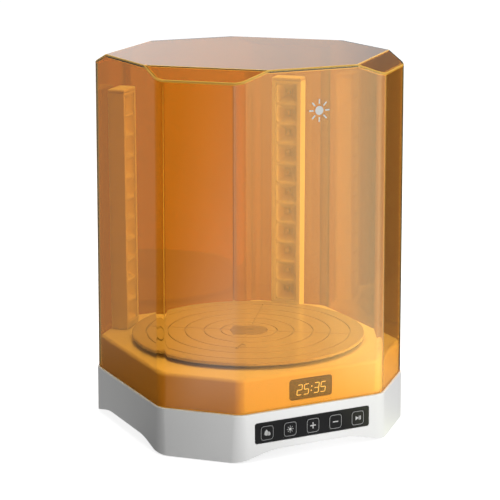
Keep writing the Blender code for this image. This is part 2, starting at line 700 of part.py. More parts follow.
def turntable_parts(white, grey, steel, brass):
    """The bush in the deck, and the shaft, hub, plate and cap that turn together."""
    low = TABLE_TOP - TABLE_THICK
    empty = joint_empty("turntable_axis", (0.0, 0.0, DECK_Z))

    # Bush pressed into the deck, part of the base
    bm = bmesh.new()
    bore = SHAFT_RADIUS + GAP
    turned(bm, ((bore, BUSH_LOW), (bore, BUSH_TOP), (BUSH_FLANGE, BUSH_TOP), (BUSH_FLANGE, DECK_Z + GAP),
                (BUSH_RADIUS, DECK_Z + GAP), (BUSH_RADIUS, BUSH_LOW)), 20)
    finish("shaft_bush", bm, brass)

    bm = bmesh.new()
    turned_solid(bm, ((0.0, SHAFT_LOW), (SHAFT_RADIUS, SHAFT_LOW), (SHAFT_RADIUS, SHAFT_TOP),
                      (0.0, SHAFT_TOP)), 20)
    finish("drive_shaft", bm, steel, empty)

    bm = bmesh.new()
    hub_low = BUSH_TOP + GAP
    turned(bm, ((bore, hub_low), (HUB_RADIUS, hub_low), (HUB_RADIUS, low - GAP), (HUB_NECK, low - GAP),
                (HUB_NECK, HUB_TOP), (bore, HUB_TOP)), 24)
    finish("turntable_hub", bm, grey, empty)

    bm = bmesh.new()
    recess = CAP_RADIUS + GAP
    turned(bm, ((TABLE_OPENING, low), (RIM_INNER, low), (RIM_FULL, low - TABLE_EDGE),
                (TABLE_RADIUS - RIM_CHAMFER, low - TABLE_EDGE), (TABLE_RADIUS, low),
                (TABLE_RADIUS, TABLE_TOP - TABLE_EDGE), (TABLE_RADIUS - TABLE_EDGE, TABLE_TOP),
                (recess, TABLE_TOP), (recess, TABLE_SEAT), (TABLE_OPENING, TABLE_SEAT)), TABLE_STEPS)
    finish("turntable", bm, white, empty)

    bm = bmesh.new()
    cap_low, cap_high = TABLE_SEAT + GAP, TABLE_TOP + CAP_PROUD
    turned_solid(bm, ((0.0, cap_low), (CAP_RADIUS, cap_low), (CAP_RADIUS, TABLE_TOP),
                      (CAP_RADIUS - CAP_EDGE, cap_high), (0.0, cap_high)), 32)
    finish("turntable_cap", bm, grey, empty)


# ---------------------------------------------------------------- lamp columns

def column_turn(side):
    """Turn a column drawn at the back (+Y) to the back right (+1) or back left (-1) corner."""
    return Matrix.Rotation(-side * EIGHTH, 4, "Z")


def lamp_column(side, name, white, green, silver):
    """Housing with its cap, reflector strip and lamp board."""
    turn = column_turn(side)
    low = DECK_Z + GAP
    high = COLUMN_TOP - CAP_THICK - GAP
    middle = COLUMN_FRONT + COLUMN_DEPTH / 2
    recess_top = RECESS_BOTTOM + CELL_COUNT * CELL_PITCH + 2 * GAP
    recess_middle = (RECESS_BOTTOM + recess_top) / 2

    bm = bmesh.new()
    box(bm, (0.0, middle, (low + high) / 2), (COLUMN_WIDTH, COLUMN_DEPTH, high - low), turn)
    housing = finish(f"column_housing_{name}", bm, white)
    bm = bmesh.new()
    depth = COLUMN_DEPTH - BACK_WALL
    box(bm, (0.0, COLUMN_FRONT + depth / 2 - OVERLAP, recess_middle),
        (RECESS_WIDTH, depth + 2 * OVERLAP, recess_top - RECESS_BOTTOM), turn)
    for across in (-COLUMN_SCREW, COLUMN_SCREW):
        rod(bm, (across, SCREW_RADIUS, low - OVERLAP), (across, SCREW_RADIUS, COLUMN_BORE_TOP),
            SCREW_HOLE, 10, turn)
    cut(housing, bm)
    bm = bmesh.new()
    rod(bm, (0.0, LEAD_RADIUS, low - OVERLAP), (0.0, LEAD_RADIUS, RECESS_BOTTOM + 2 * OVERLAP),
        LEAD_HOLE, 10, turn)
    cut(housing, bm)

    bm = bmesh.new()
    box(bm, (0.0, middle, COLUMN_TOP - CAP_THICK / 2), (COLUMN_WIDTH, COLUMN_DEPTH, CAP_THICK), turn)
    top_edges = [edge for edge in bm.edges if min(v.co.z for v in edge.verts) > COLUMN_TOP - 1e-5]
    bmesh.ops.bevel(bm, geom=top_edges, offset=EDGE, segments=1, profile=0.5, affect="EDGES", material=-1)
    finish(f"column_cap_{name}", bm, white)

    # Reflector strip with one open cup for each lamp
    strip_low = RECESS_BOTTOM + GAP
    strip_high = strip_low + CELL_COUNT * CELL_PITCH
    bm = bmesh.new()
    reflector_middle = REFLECTOR_FRONT + REFLECTOR_DEPTH / 2
    box(bm, (0.0, reflector_middle, (strip_low + strip_high) / 2),
        (RECESS_WIDTH - 2 * GAP, REFLECTOR_DEPTH, strip_high - strip_low), turn)
    reflector = finish(f"reflector_{name}", bm, silver)
    bm = bmesh.new()
    for index in range(CELL_COUNT):
        centre = strip_low + (index + 0.5) * CELL_PITCH
        rings = []
        for depth, (width, height) in ((-OVERLAP, CUP_MOUTH), (REFLECTOR_DEPTH + OVERLAP, CUP_FLOOR)):
            radius = REFLECTOR_FRONT + depth
            corners = ((-1, -1), (1, -1), (1, 1), (-1, 1))
            rings.append([turn @ Vector((u * width / 2, radius, centre + w * height / 2)) for u, w in corners])
        loft(bm, rings)
    cut(reflector, bm)

    bm = bmesh.new()
    board_middle = LAMP_BOARD_FRONT + BOARD_THICK / 2
    box(bm, (0.0, board_middle, (strip_low + strip_high) / 2),
        (RECESS_WIDTH - 2 * GAP, BOARD_THICK, strip_high - strip_low), turn)
    board = finish(f"lamp_board_{name}", bm, green)
    bm = bmesh.new()
    for index in range(CELL_COUNT):
        centre = strip_low + (index + 0.5) * CELL_PITCH
        box(bm, (0.0, LAMP_BOARD_FRONT - LAMP_PROUD, centre), LAMP_SIZE, turn)
    join(board, bm)


def lead(name, points, radius, material):
    """Round wire along a smooth route inside the base."""
    curve = bpy.data.curves.new(name, "CURVE")
    curve.dimensions = "3D"
    curve.bevel_depth = radius
    curve.bevel_resolution = 1
    curve.use_fill_caps = True
    curve.render_resolution_u = 0
    spline = curve.splines.new("POLY")
    route = smooth_route(points)
    spline.points.add(len(route) - 1)
    for point, place in zip(spline.points, route):
        point.co = (*place, 1.0)
    curve.materials.append(material)
    piece = bpy.data.objects.new(name, curve)
    bpy.context.collection.objects.link(piece)
    return piece


def smooth_route(points, steps=4):
    """Catmull-Rom curve through the points."""
    knots = [Vector(point) for point in points]
    knots = [knots[0] * 2 - knots[1]] + knots + [knots[-1] * 2 - knots[-2]]
    route = []
    for a, b, c, d in zip(knots, knots[1:], knots[2:], knots[3:]):
        for step in range(steps):
            t = step / steps
            route.append(0.5 * (2 * b + (c - a) * t + (2 * a - 5 * b + 4 * c - d) * t ** 2
                                + (3 * b - a - 3 * c + d) * t ** 3))
    route.append(knots[-2])
    return route


def leads(white, black):
    """Leads from the main board's header to the lamp columns and the motor."""
    for side, name in ((-1, "left"), (1, "right")):
        turn = column_turn(side)
        foot = turn @ Vector((0.0, LEAD_RADIUS, 0.0))
        route = [(foot.x * wide, foot.y * deep, height) for wide, deep, height in LEAD_DROP]
        route.append((foot.x * LEAD_CROSSING[0], LEAD_CROSSING[1], LEAD_CROSSING[2]))
        route += [(HEADER_PLACE[0] + side * LEAD_SPREAD, along, height) for along, height in LEAD_ENDS]
        lead(f"lamp_lead_{name}", route, LEAD_THICK, white)
    lead("motor_lead", MOTOR_ROUTE, LEAD_THICK, black)


# ---------------------------------------------------------------- hood

def hood_solid(bm, shell, low, high):
    """Octagonal tower with sloping corner facets; shell is how far it is inside the outer skin."""
    narrow = shell * math.tan(EIGHTH / 2)
    slope = (HOOD_HALF_TOP - HOOD_HALF_FOOT) / (HOOD_SHOULDER - LEDGE_Z)
    rings = []
    for height in (low, high):
        share = height - HOOD_SHOULDER
        half = HOOD_HALF_TOP + slope * share - shell
        face_slope = (HOOD_FACE_TOP - HOOD_FACE_FOOT) / (HOOD_SHOULDER - LEDGE_Z)
        face = HOOD_FACE_TOP + face_slope * share - narrow
        rings.append(at_height(octagon(half, face, HOOD_ROUND - shell), height))
    loft(bm, rings)
    outer = (HOOD_HALF_TOP + HOOD_FACE_TOP) * math.sqrt(0.5)
    crest = (HOOD_HALF_TOP + HOOD_CREST) * math.sqrt(0.5)
    rise = Vector((HOOD_TOP - HOOD_SHOULDER, outer - crest)).normalized()
    for corner in range(4):
        angle = EIGHTH + corner * math.pi / 2
        radial = Vector((math.cos(angle), math.sin(angle), 0.0))
        normal = radial * rise.x + Vector((0.0, 0.0, rise.y))
        point = radial * outer + Vector((0.0, 0.0, HOOD_SHOULDER)) - normal * shell
        clip(bm, point, normal)


def hood(material):
    """Lift-off hood: one moulding, open below."""
    empty = joint_empty("hood_axis", (0.0, 0.0, LEDGE_Z))
    bm = bmesh.new()
    hood_solid(bm, 0.0, LEDGE_Z + GAP, HOOD_TOP)
    piece = finish("hood", bm, material, empty)
    bm = bmesh.new()
    hood_solid(bm, HOOD_WALL, LEDGE_Z - 10 * OVERLAP, HOOD_TOP - HOOD_WALL)
    cut(piece, bm)
    return piece


# ---------------------------------------------------------------- assembly

def screws(steel):
    """Screws of the motor, the floor plate and the columns, all driven upwards."""
    ear_under = MOTOR_TOP - EAR_DROP - EAR_SIZE[2] / 2
    for side, name in ((-1, "left"), (1, "right")):
        screw(f"motor_screw_{name}", (side * EAR_PLACE, 0.0), ear_under - GAP, MOTOR_SCREW_LENGTH, steel)
        for along, end in ((-POST_PLACE, "front"), (POST_PLACE, "back")):
            screw(f"bottom_screw_{end}_{name}", (side * POST_PLACE, along), PLATE_Z - GAP,
                  BOTTOM_SCREW_LENGTH, steel)
        turn = column_turn(side)
        for across, place in ((-COLUMN_SCREW, "a"), (COLUMN_SCREW, "b")):
            screw(f"column_screw_{name}_{place}", (across, SCREW_RADIUS),
                  DECK_Z - DECK_WALL - GAP, COLUMN_SCREW_LENGTH, steel, turn)


def build():
    for item in list(bpy.data.objects):
        bpy.data.objects.remove(item, do_unlink=True)
    white = plastic("white_plastic", (0.86, 0.86, 0.85), 0.35)
    grey = plastic("grey_plastic", (0.45, 0.44, 0.42), 0.45)
    black = plastic("black_plastic", (0.02, 0.02, 0.02), 0.30)
    orange = plastic("orange_acrylic", (0.90, 0.42, 0.05), 0.08)
    smoke = plastic("smoked_acrylic", (0.20, 0.14, 0.10), 0.10)
    green = plastic("circuit_board", (0.03, 0.20, 0.08), 0.45)
    steel = plastic("zinc_steel", (0.70, 0.70, 0.72), 0.30, 1.0)
    brass = plastic("brass", (0.72, 0.52, 0.24), 0.30, 1.0)
    silver = plastic("reflector_silver", (0.82, 0.82, 0.84), 0.18, 1.0)
    rubber = plastic("dark_rubber", (0.05, 0.05, 0.05), 0.85)

    base_shell(white)
    bottom_plate(grey)
    rubber_pads(rubber)
    main_board(green, black, grey)
    power_inlet(black)
    key_strip(black)
    for name, place in zip(KEY_NAMES, key_places()):
        key(f"{name}_key", place, black)
    key_board(green, black, steel)
    deck(white)
    display(smoke, black, green)
    gear_motor(steel)
    turntable_parts(white, grey, steel, brass)
    for side, name in ((-1, "left"), (1, "right")):
        lamp_column(side, name, white, green, silver)
    leads(white, black)
    screws(steel)
    hood(orange)


build()
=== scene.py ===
"""Tabletop curing lamp: a white base with keys, a turntable, two lamp columns and an orange hood."""
import json
import math

import bmesh
import bpy
from mathutils import Matrix, Vector

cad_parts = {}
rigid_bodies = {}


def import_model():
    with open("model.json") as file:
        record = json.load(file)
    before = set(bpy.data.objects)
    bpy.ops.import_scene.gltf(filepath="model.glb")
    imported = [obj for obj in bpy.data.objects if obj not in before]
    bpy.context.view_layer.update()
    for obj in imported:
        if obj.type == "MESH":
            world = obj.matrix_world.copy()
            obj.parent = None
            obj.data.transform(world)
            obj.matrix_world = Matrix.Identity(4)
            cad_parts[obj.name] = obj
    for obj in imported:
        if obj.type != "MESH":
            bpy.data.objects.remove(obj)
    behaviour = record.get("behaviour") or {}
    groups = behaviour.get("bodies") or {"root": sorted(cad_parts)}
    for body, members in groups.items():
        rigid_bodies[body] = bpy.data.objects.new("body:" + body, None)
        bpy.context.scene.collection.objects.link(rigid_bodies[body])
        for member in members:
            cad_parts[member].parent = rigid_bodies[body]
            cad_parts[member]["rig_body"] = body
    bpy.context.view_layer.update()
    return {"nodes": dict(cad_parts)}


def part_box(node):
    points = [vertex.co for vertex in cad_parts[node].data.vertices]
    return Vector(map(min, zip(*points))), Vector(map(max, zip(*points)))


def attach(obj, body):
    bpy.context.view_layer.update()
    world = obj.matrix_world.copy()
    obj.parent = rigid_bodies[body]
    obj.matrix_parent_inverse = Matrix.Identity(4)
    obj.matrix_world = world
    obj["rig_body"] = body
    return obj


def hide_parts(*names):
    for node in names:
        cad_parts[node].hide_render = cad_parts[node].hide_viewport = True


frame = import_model()


# ---------------------------------------------------------------- studio
# The lamp stands on a pale floor in soft light: a softbox to the right of the keys, a broad one
# overhead and a small low fill. The surroundings glow more in some headings than in others, which
# gives each face of the clear hood its own shade.

CAMERA_PLACE = Vector((-0.6700, -1.3275, 0.4937))
CAMERA_AIM = Vector((0.0, 0.0, 0.1461))
CAMERA_LENS = 128.1
CAMERA_SHIFT = 0.0024
FLOOR_SIZE = 12.0
PAPER = (0.42, 0.42, 0.42, 1.0)
KEY_LIGHT = {"place": (0.95, -1.25, 0.85), "aim": (0.0, 0.0, 0.12), "size": 0.9, "power": 5.5}
FILL_LIGHT = {"place": (-0.05, -0.38, 0.08), "aim": (-0.05, -0.12, 0.02), "size": 0.12, "power": 0.34}
TOP_LIGHT = {"place": (0.15, 0.10, 1.55), "aim": (0.0, 0.0, 0.12), "size": 1.1, "power": 20.0}


def node(tree, kind, inputs=(), **settings):
    """Add a shader node, set it up and link or fill its inputs."""
    made = tree.nodes.new(kind)
    for name, value in settings.items():
        setattr(made, name, value)
    for name, value in dict(inputs).items():
        if isinstance(value, bpy.types.NodeSocket):
            tree.links.new(value, made.inputs[name])
        else:
            made.inputs[name].default_value = value
    return made


def ramp(tree, factor, stops, smooth="EASE"):
    """Colour ramp through the given (position, value) stops."""
    made = node(tree, "ShaderNodeValToRGB", {"Fac": factor})
    made.color_ramp.interpolation = smooth
    elements = made.color_ramp.elements
    while len(elements) < len(stops):
        elements.new(0.5)
    for element, (position, value) in zip(elements, stops):
        element.position = position
        element.color = (value, value, value, 1.0) if isinstance(value, float) else (*value, 1.0)
    return made.outputs["Color"]


def heading(tree, vector):
    """Compass heading of a direction as 0 to 1, counted from -X through -Y, +X and +Y."""
    parts = node(tree, "ShaderNodeSeparateXYZ", {0: vector})
    turn = node(tree, "ShaderNodeMath", {0: parts.outputs["Y"], 1: parts.outputs["X"]}, operation="ARCTAN2")
    return node(tree, "ShaderNodeMapRange", {"Value": turn.outputs[0], "From Min": -math.pi,
                                             "From Max": math.pi}).outputs["Result"]


def point_at(thing, place, aim):
    """Stand a camera or light at a place and turn it to its aim."""
    thing.location = place
    thing.rotation_euler = (Vector(aim) - Vector(place)).to_track_quat("-Z", "Y").to_euler()


# Glow of the surroundings by compass heading: what is seen through the hood, what the floor and the
# air above it look like in polished faces, and the soft light that dull faces gather. Mirrored floor
# fades from NEAR_GLOW to full strength between the two distances of NEAR_FLOOR.
THROUGH_STOPS = ((0.0000, 0.35), (0.2000, 0.90), (0.3250, 2.60), (0.4300, 1.50), (0.6000, 0.60),
                 (0.6560, 0.42), (0.6620, 0.38), (0.6626, 0.09), (0.6638, 0.09), (0.6646, 0.58),
                 (0.6666, 0.66), (0.6693, 0.56), (0.6738, 0.44), (0.6751, 0.52), (0.6764, 0.68),
                 (0.6800, 0.58), (0.6820, 0.54), (0.6838, 0.47), (0.6856, 0.56), (0.6900, 0.50),
                 (0.7030, 0.36), (0.8000, 0.35), (1.0000, 0.35))
MIRROR_STOPS = ((0.000, 0.02), (0.068, 0.03), (0.096, 2.20), (0.200, 1.40), (0.300, 1.20),
                (0.312, (2.0, 2.0, 1.6)), (0.322, (3.0, 3.2, 2.3)), (0.332, (4.2, 4.4, 3.1)),
                (0.345, (4.8, 5.0, 3.5)), (0.460, 1.00), (0.530, 0.05), (0.590, 0.02), (0.700, 0.15),
                (0.817, 0.25), (0.950, 0.02), (1.000, 0.02))
SKY_STOPS = ((0.000, 0.25), (0.100, 0.60), (0.350, 1.50), (0.500, 0.40), (0.625, 0.08), (0.652, 0.48),
             (0.658, 0.56), (0.675, 0.68), (0.694, 0.90), (0.715, 0.30), (0.730, 0.20), (0.800, 0.25),
             (1.000, 0.25))
AMBIENT_STOPS = ((0.00, 0.42), (0.06, 0.16), (0.19, 0.16), (0.27, 0.80), (0.45, 0.86), (0.60, 0.70),
                 (0.75, 0.45), (0.90, 0.54), (1.00, 0.42))
NEAR_FLOOR = (0.20, 0.40)
NEAR_GLOW = 0.25
FLOOR_GLOW = 0.82
FLOOR_GATHER = 0.80
BRIGHT = (1.0, 1.0, 1.0, 1.0)
AIR = "ShaderNodeBackground"
LAMP = "ShaderNodeEmission"

camera_data = bpy.data.cameras.new("camera")
camera_data.lens = CAMERA_LENS
camera_data.shift_x = CAMERA_SHIFT
camera = bpy.data.objects.new("camera", camera_data)
point_at(camera, CAMERA_PLACE, CAMERA_AIM)
bpy.context.scene.collection.objects.link(camera)
bpy.context.scene.camera = camera
bpy.context.scene.view_settings.view_transform = "Standard"


def softbox(name, facts):
    """Square area light that no lens, mirror or clear sheet sees."""
    data = bpy.data.lights.new(name, "AREA")
    data.size = facts["size"]
    data.energy = facts["power"]
    light = bpy.data.objects.new(name, data)
    light.visible_camera = False
    light.visible_glossy = False
    light.visible_transmission = False
    point_at(light, facts["place"], facts["aim"])
    bpy.context.scene.collection.objects.link(light)
    return light


softbox("key_softbox", KEY_LIGHT)
softbox("fill_softbox", FILL_LIGHT)
softbox("top_softbox", TOP_LIGHT)

world = bpy.data.worlds.new("studio")
world.use_nodes = True
bpy.context.scene.world = world
sky = world.node_tree
sky.nodes.clear()
sky_heading = heading(sky, node(sky, "ShaderNodeTexCoord").outputs["Generated"])


def by_ray(tree, plain, others):
    """Pick a shader by the kind of ray that asks for it; the last kind that fits wins."""
    ray = node(tree, "ShaderNodeLightPath")
    shown = plain
    for kind, shader in others:
        shown = node(tree, "ShaderNodeMixShader", {0: ray.outputs[kind], 1: shown, 2: shader}).outputs[0]
    return shown


def glow(tree, kind, colour, strength=1.0):
    """Plain glow of the air or of a surface."""
    return node(tree, kind, {"Color": colour, "Strength": strength}).outputs[0]


shown = by_ray(sky, glow(sky, AIR, ramp(sky, sky_heading, AMBIENT_STOPS)),
               (("Is Glossy Ray", glow(sky, AIR, ramp(sky, sky_heading, SKY_STOPS))),
                ("Is Transmission Ray", glow(sky, AIR, ramp(sky, sky_heading, THROUGH_STOPS))),
                ("Is Camera Ray", glow(sky, AIR, BRIGHT))))
node(sky, "ShaderNodeOutputWorld", {"Surface": shown})

floor_mesh = bpy.data.meshes.new("floor")
bm = bmesh.new()
bmesh.ops.create_grid(bm, x_segments=1, y_segments=1, size=FLOOR_SIZE / 2)
bm.to_mesh(floor_mesh)
bm.free()
floor = bpy.data.objects.new("floor", floor_mesh)
bpy.context.scene.collection.objects.link(floor)
floor.visible_transmission = False
paper = bpy.data.materials.new("pale_floor")
paper.use_nodes = True
tree = paper.node_tree
tree.nodes.clear()
floor_place = node(tree, "ShaderNodeTexCoord").outputs["Object"]
floor_heading = heading(tree, floor_place)
distance = node(tree, "ShaderNodeVectorMath", {0: floor_place}, operation="LENGTH").outputs["Value"]
nearness = node(tree, "ShaderNodeMapRange",
                {"Value": distance, "From Min": NEAR_FLOOR[0], "From Max": NEAR_FLOOR[1],
                 "To Min": NEAR_GLOW},
                interpolation_type="SMOOTHSTEP").outputs["Result"]
lit = node(tree, "ShaderNodeAddShader", {0: node(tree, "ShaderNodeBsdfDiffuse", {"Color": PAPER}).outputs[0],
                                         1: glow(tree, LAMP, BRIGHT, FLOOR_GLOW)})
mirrored = glow(tree, LAMP, ramp(tree, floor_heading, MIRROR_STOPS), nearness)
shown = by_ray(tree, glow(tree, LAMP, ramp(tree, floor_heading, AMBIENT_STOPS), FLOOR_GATHER),
               (("Is Glossy Ray", mirrored), ("Is Camera Ray", lit.outputs[0])))
node(tree, "ShaderNodeOutputMaterial", {"Surface": shown})
floor_mesh.materials.append(paper)


# ---------------------------------------------------------------- base shell
# Satin white ABS moulding: one flared octagonal wall that arches up between its corners, with a
# ledge on top for the hood and a flat sole in each corner. The key openings are cut in its front.

EIGHTH = math.radians(45)
WHITE = (0.80, 0.80, 0.79)
BASE_LOW, BASE_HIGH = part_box("base_shell")
LEDGE_HALF = 0.1159
FOOT_HALF = BASE_HIGH.x
LEDGE_FACE = 0.0663
LEDGE_ROUND = 0.0140
FOOT_ROUND = 0.0200
LEDGE_Z = BASE_HIGH.z
FOOT_Z = BASE_LOW.z
BASE_WALL = 0.0025
LEDGE_WIDTH = 0.0150
ARCH_RISE = 0.0078
ARCH_FLAT = 0.0300
ARCH_END = 0.0750
ARCH_STEPS = 8
FACE_SHARE = 0.4
SOLE_INNER = 0.0700
SOLE_Z = (0.0018, 0.0043)
ROUND_STEPS = 8
SHARP_ANGLE = 50.0


def surface(name, colour, roughness, metallic=0.0, speckle=900.0, relief=0.02, shade=0.05, rough_spread=0.06,
            stretch=(1.0, 1.0, 1.0)):
    """Solid finish: slow drifts of shade, a fine grain in the relief and a little unevenness in the gloss."""
    material = bpy.data.materials.new(name)
    material.use_nodes = True
    tree = material.node_tree
    shader = tree.nodes["Principled BSDF"]
    place = node(tree, "ShaderNodeTexCoord").outputs["Object"]
    place = node(tree, "ShaderNodeMapping", {"Vector": place, "Scale": stretch}).outputs["Vector"]
    drift = node(tree, "ShaderNodeTexNoise", {"Vector": place, "Scale": 28.0, "Detail": 4.0}).outputs["Fac"]
    grain = node(tree, "ShaderNodeTexNoise", {"Vector": place, "Scale": speckle, "Detail": 3.0,
                                              "Roughness": 0.6}).outputs["Fac"]
    dark = tuple(part * (1.0 - shade) for part in colour)
    light = tuple(min(1.0, part * (1.0 + shade * 0.6)) for part in colour)
    mixed = node(tree, "ShaderNodeMapRange", {"Value": drift, "From Min": 0.3, "From Max": 0.7})
    tone = ramp(tree, mixed.outputs["Result"], ((0.0, dark), (1.0, light)), "LINEAR")
    gloss = node(tree, "ShaderNodeMapRange", {"Value": grain, "From Min": 0.3, "From Max": 0.7,
                                              "To Min": max(0.02, roughness - rough_spread),
                                              "To Max": roughness + rough_spread})
    bump = node(tree, "ShaderNodeBump", {"Height": grain, "Strength": relief, "Distance": 0.0004})
    tree.links.new(tone, shader.inputs["Base Color"])
    tree.links.new(gloss.outputs["Result"], shader.inputs["Roughness"])
    tree.links.new(bump.outputs["Normal"], shader.inputs["Normal"])
    shader.inputs["Metallic"].default_value = metallic
    return material


def rotate(bm, matrix, verts=None):
    """Turn a mesh, or some of its corners, about the origin."""
    bmesh.ops.rotate(bm, verts=verts or bm.verts, cent=Vector(), matrix=matrix)


def shift(bm, step, verts=None):
    """Move a mesh, or some of its corners."""
    bmesh.ops.translate(bm, verts=verts or bm.verts, vec=step)


def octagon_ring(bm, half, face, radius, height, steps=ROUND_STEPS):
    """Level octagon with rounded corners; half is its centre to a wide face, face half a wide face."""
    made = bmesh.ops.create_circle(bm, cap_ends=True, segments=4, radius=half * math.sqrt(2.0))["verts"]
    rotate(bm, Matrix.Rotation(EIGHTH, 3, "Z"), made)
    shift(bm, (0.0, 0.0, height), made)
    made = bmesh.ops.bevel(bm, geom=made, offset=half - face, offset_type="ABSOLUTE", segments=1, profile=0.5,
                           affect="VERTICES", material=-1)["verts"]
    made = bmesh.ops.bevel(bm, geom=made, offset=radius * math.tan(EIGHTH / 2), offset_type="ABSOLUTE",
                           segments=steps, profile=0.5, affect="VERTICES", material=-1)["verts"]
    lid = max(made[0].link_faces, key=lambda item: len(item.verts))
    edges = list(lid.edges)
    bmesh.ops.delete(bm, geom=[lid], context="FACES_ONLY")
    return edges


def stacked(sections, steps=ROUND_STEPS):
    """Closed octagonal block through (half, face, radius, height) sections, lowest first."""
    bm = bmesh.new()
    rings = [octagon_ring(bm, *section, steps) for section in sections]
    for low, high in zip(rings, rings[1:]):
        bmesh.ops.bridge_loops(bm, edges=low + high)
    bmesh.ops.holes_fill(bm, edges=rings[0] + rings[-1], sides=0)
    bmesh.ops.recalc_face_normals(bm, faces=bm.faces)
    return bm


def whole_mesh(bm):
    """Every element of a mesh, for the cutting operators."""
    return bm.verts[:] + bm.edges[:] + bm.faces[:]


def slice_off(bm, point, normal):
    """Cut off what lies beyond a plane and close the cut."""
    cut = bmesh.ops.bisect_plane(bm, geom=whole_mesh(bm), dist=1e-7, plane_co=point, plane_no=normal,
                                 clear_outer=True)
    rim = [item for item in cut["geom_cut"] if isinstance(item, bmesh.types.BMEdge)]
    bmesh.ops.holes_fill(bm, edges=rim, sides=0)


def block(centre, size, turn=None, round_edges=0.0, steps=3):
    """Box with its upright edges along Y rounded, turned about the Z axis when asked."""
    bm = bmesh.new()
    bmesh.ops.create_cube(bm, size=1.0)
    bmesh.ops.scale(bm, verts=bm.verts, vec=size)
    if round_edges:
        along = [edge for edge in bm.edges if abs(edge.verts[0].co.y - edge.verts[1].co.y) > 1e-6]
        bmesh.ops.bevel(bm, geom=along, offset=round_edges, segments=steps, profile=0.5, affect="EDGES",
                        material=-1)
    shift(bm, centre)
    if turn is not None:
        rotate(bm, turn)
    return bm


def upright(place, low, high, radius, sides=24):
    """Upright round bar over a place, from low to high."""
    bm = bmesh.new()
    bmesh.ops.create_cone(bm, cap_ends=True, segments=sides, radius1=radius, radius2=radius, depth=high - low)
    shift(bm, (place.x, place.y, (low + high) / 2))
    return bm


def raw_object(name, bm):
    """Plain object from a mesh under construction."""
    mesh = bpy.data.meshes.new(name)
    bm.to_mesh(mesh)
    bm.free()
    made = bpy.data.objects.new(name, mesh)
    bpy.context.scene.collection.objects.link(made)
    return made


def make(name, bm, material, body, stands_for=(), less=(), edge=0.0004, edge_steps=2, angle=30.0,
         edge_material=None):
    """Turn a mesh into a finished piece: cut it, round its sharp edges, shade it and hang it on its body."""
    made = raw_object(name, bm)
    made.data.materials.append(material)
    if edge_material is not None:
        made.data.materials.append(edge_material)
    helpers = []
    for tool in less:
        helper = raw_object(name + "_tool", tool)
        helpers.append(helper)
        boolean = made.modifiers.new("cut", "BOOLEAN")
        boolean.operation = "DIFFERENCE"
        boolean.object = helper
    if edge:
        rounding = made.modifiers.new("edges", "BEVEL")
        rounding.width = edge
        rounding.segments = edge_steps
        rounding.limit_method = "ANGLE"
        rounding.angle_limit = math.radians(angle)
        rounding.use_clamp_overlap = True
        rounding.material = -1 if edge_material is None else 1
    mesh = bpy.data.meshes.new_from_object(made.evaluated_get(bpy.context.evaluated_depsgraph_get()))
    mesh.name = name
    made.modifiers.clear()
    made.data = mesh
    for helper in helpers:
        bpy.data.objects.remove(helper)
    mesh.shade_smooth()
    mesh.set_sharp_from_angle(angle=math.radians(SHARP_ANGLE))
    weighted = made.modifiers.new("flat_faces", "WEIGHTED_NORMAL")
    weighted.keep_sharp = True
    mesh = bpy.data.meshes.new_from_object(made.evaluated_get(bpy.context.evaluated_depsgraph_get()))
    made.modifiers.clear()
    made.data = mesh
    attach(made, body)
    if stands_for:
        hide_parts(*stands_for)
    return made


def arch_height(point):
    """Underside of the wall: down at the corners, arched up along the wide faces."""
    beside = min(abs(point.x), abs(point.y))
    share = min(1.0, max(0.0, (ARCH_END - beside) / (ARCH_END - ARCH_FLAT)))
    return ARCH_RISE * share * share * (3.0 - 2.0 * share)


def base_block(inset, low, high):
    """The outer form of the base, or the hollow inside it when inset by the wall."""
    narrow = inset * math.tan(EIGHTH / 2)
    flare = FOOT_HALF - LEDGE_HALF
    bm = stacked(((FOOT_HALF - inset, LEDGE_FACE + flare * FACE_SHARE - narrow, FOOT_ROUND - inset, low),
                  (LEDGE_HALF - inset, LEDGE_FACE - narrow, LEDGE_ROUND - inset, high)))
    straight = LEDGE_FACE - FOOT_ROUND * math.tan(EIGHTH / 2)
    stations = [ARCH_FLAT + (straight - ARCH_FLAT) * step / ARCH_STEPS for step in range(ARCH_STEPS + 1)]
    for station in stations:
        for side in (-1.0, 1.0):
            for axis in (Vector((1.0, 0.0, 0.0)), Vector((0.0, 1.0, 0.0))):
                bmesh.ops.bisect_plane(bm, geom=whole_mesh(bm), dist=1e-7, plane_co=axis * side * station,
                                       plane_no=axis)
    for vertex in bm.verts:
        if abs(vertex.co.z - low) < 1e-6:
            vertex.co.z = low + arch_height(vertex.co)
    return bm


def corner_sole(quarter):
    """Flat floor of one corner, which a rubber pad sits on."""
    inset = BASE_WALL / 2
    bm = stacked([(FOOT_HALF - inset, LEDGE_FACE - inset * FACE_SHARE, FOOT_ROUND - inset, height)
                  for height in SOLE_Z])
    slice_off(bm, Vector((SOLE_INNER, 0.0, 0.0)), Vector((-1.0, 0.0, 0.0)))
    slice_off(bm, Vector((0.0, SOLE_INNER, 0.0)), Vector((0.0, -1.0, 0.0)))
    rotate(bm, Matrix.Rotation(quarter * math.pi / 2, 3, "Z"))
    return bm


STRIP_LOW, STRIP_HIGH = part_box("key_strip")
KEY_NAMES = ("droplets", "sun", "plus", "minus", "play_pause")
INLET_LOW, INLET_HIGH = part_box("power_inlet")
GAP = 0.0003
STRIP_ROUND = 0.0020
KEY_ROUND = 0.0030
KEY_REACH = Vector((0.0063, 0.0, 0.0065))
INLET_ROUND = 0.0006
FRONT_CUT = (-0.1190, -0.1050)
BACK_CUT = (0.1050, 0.1190)
STRIP_CUT = -0.1200
LEDGE_OPENING = (LEDGE_HALF - LEDGE_WIDTH, LEDGE_FACE - 0.0066, 0.0080)
CUT_PAST = 0.010
SLIVER = 0.0002

white_shell = surface("satin_white_shell", WHITE, 0.34, relief=0.05, shade=0.012)


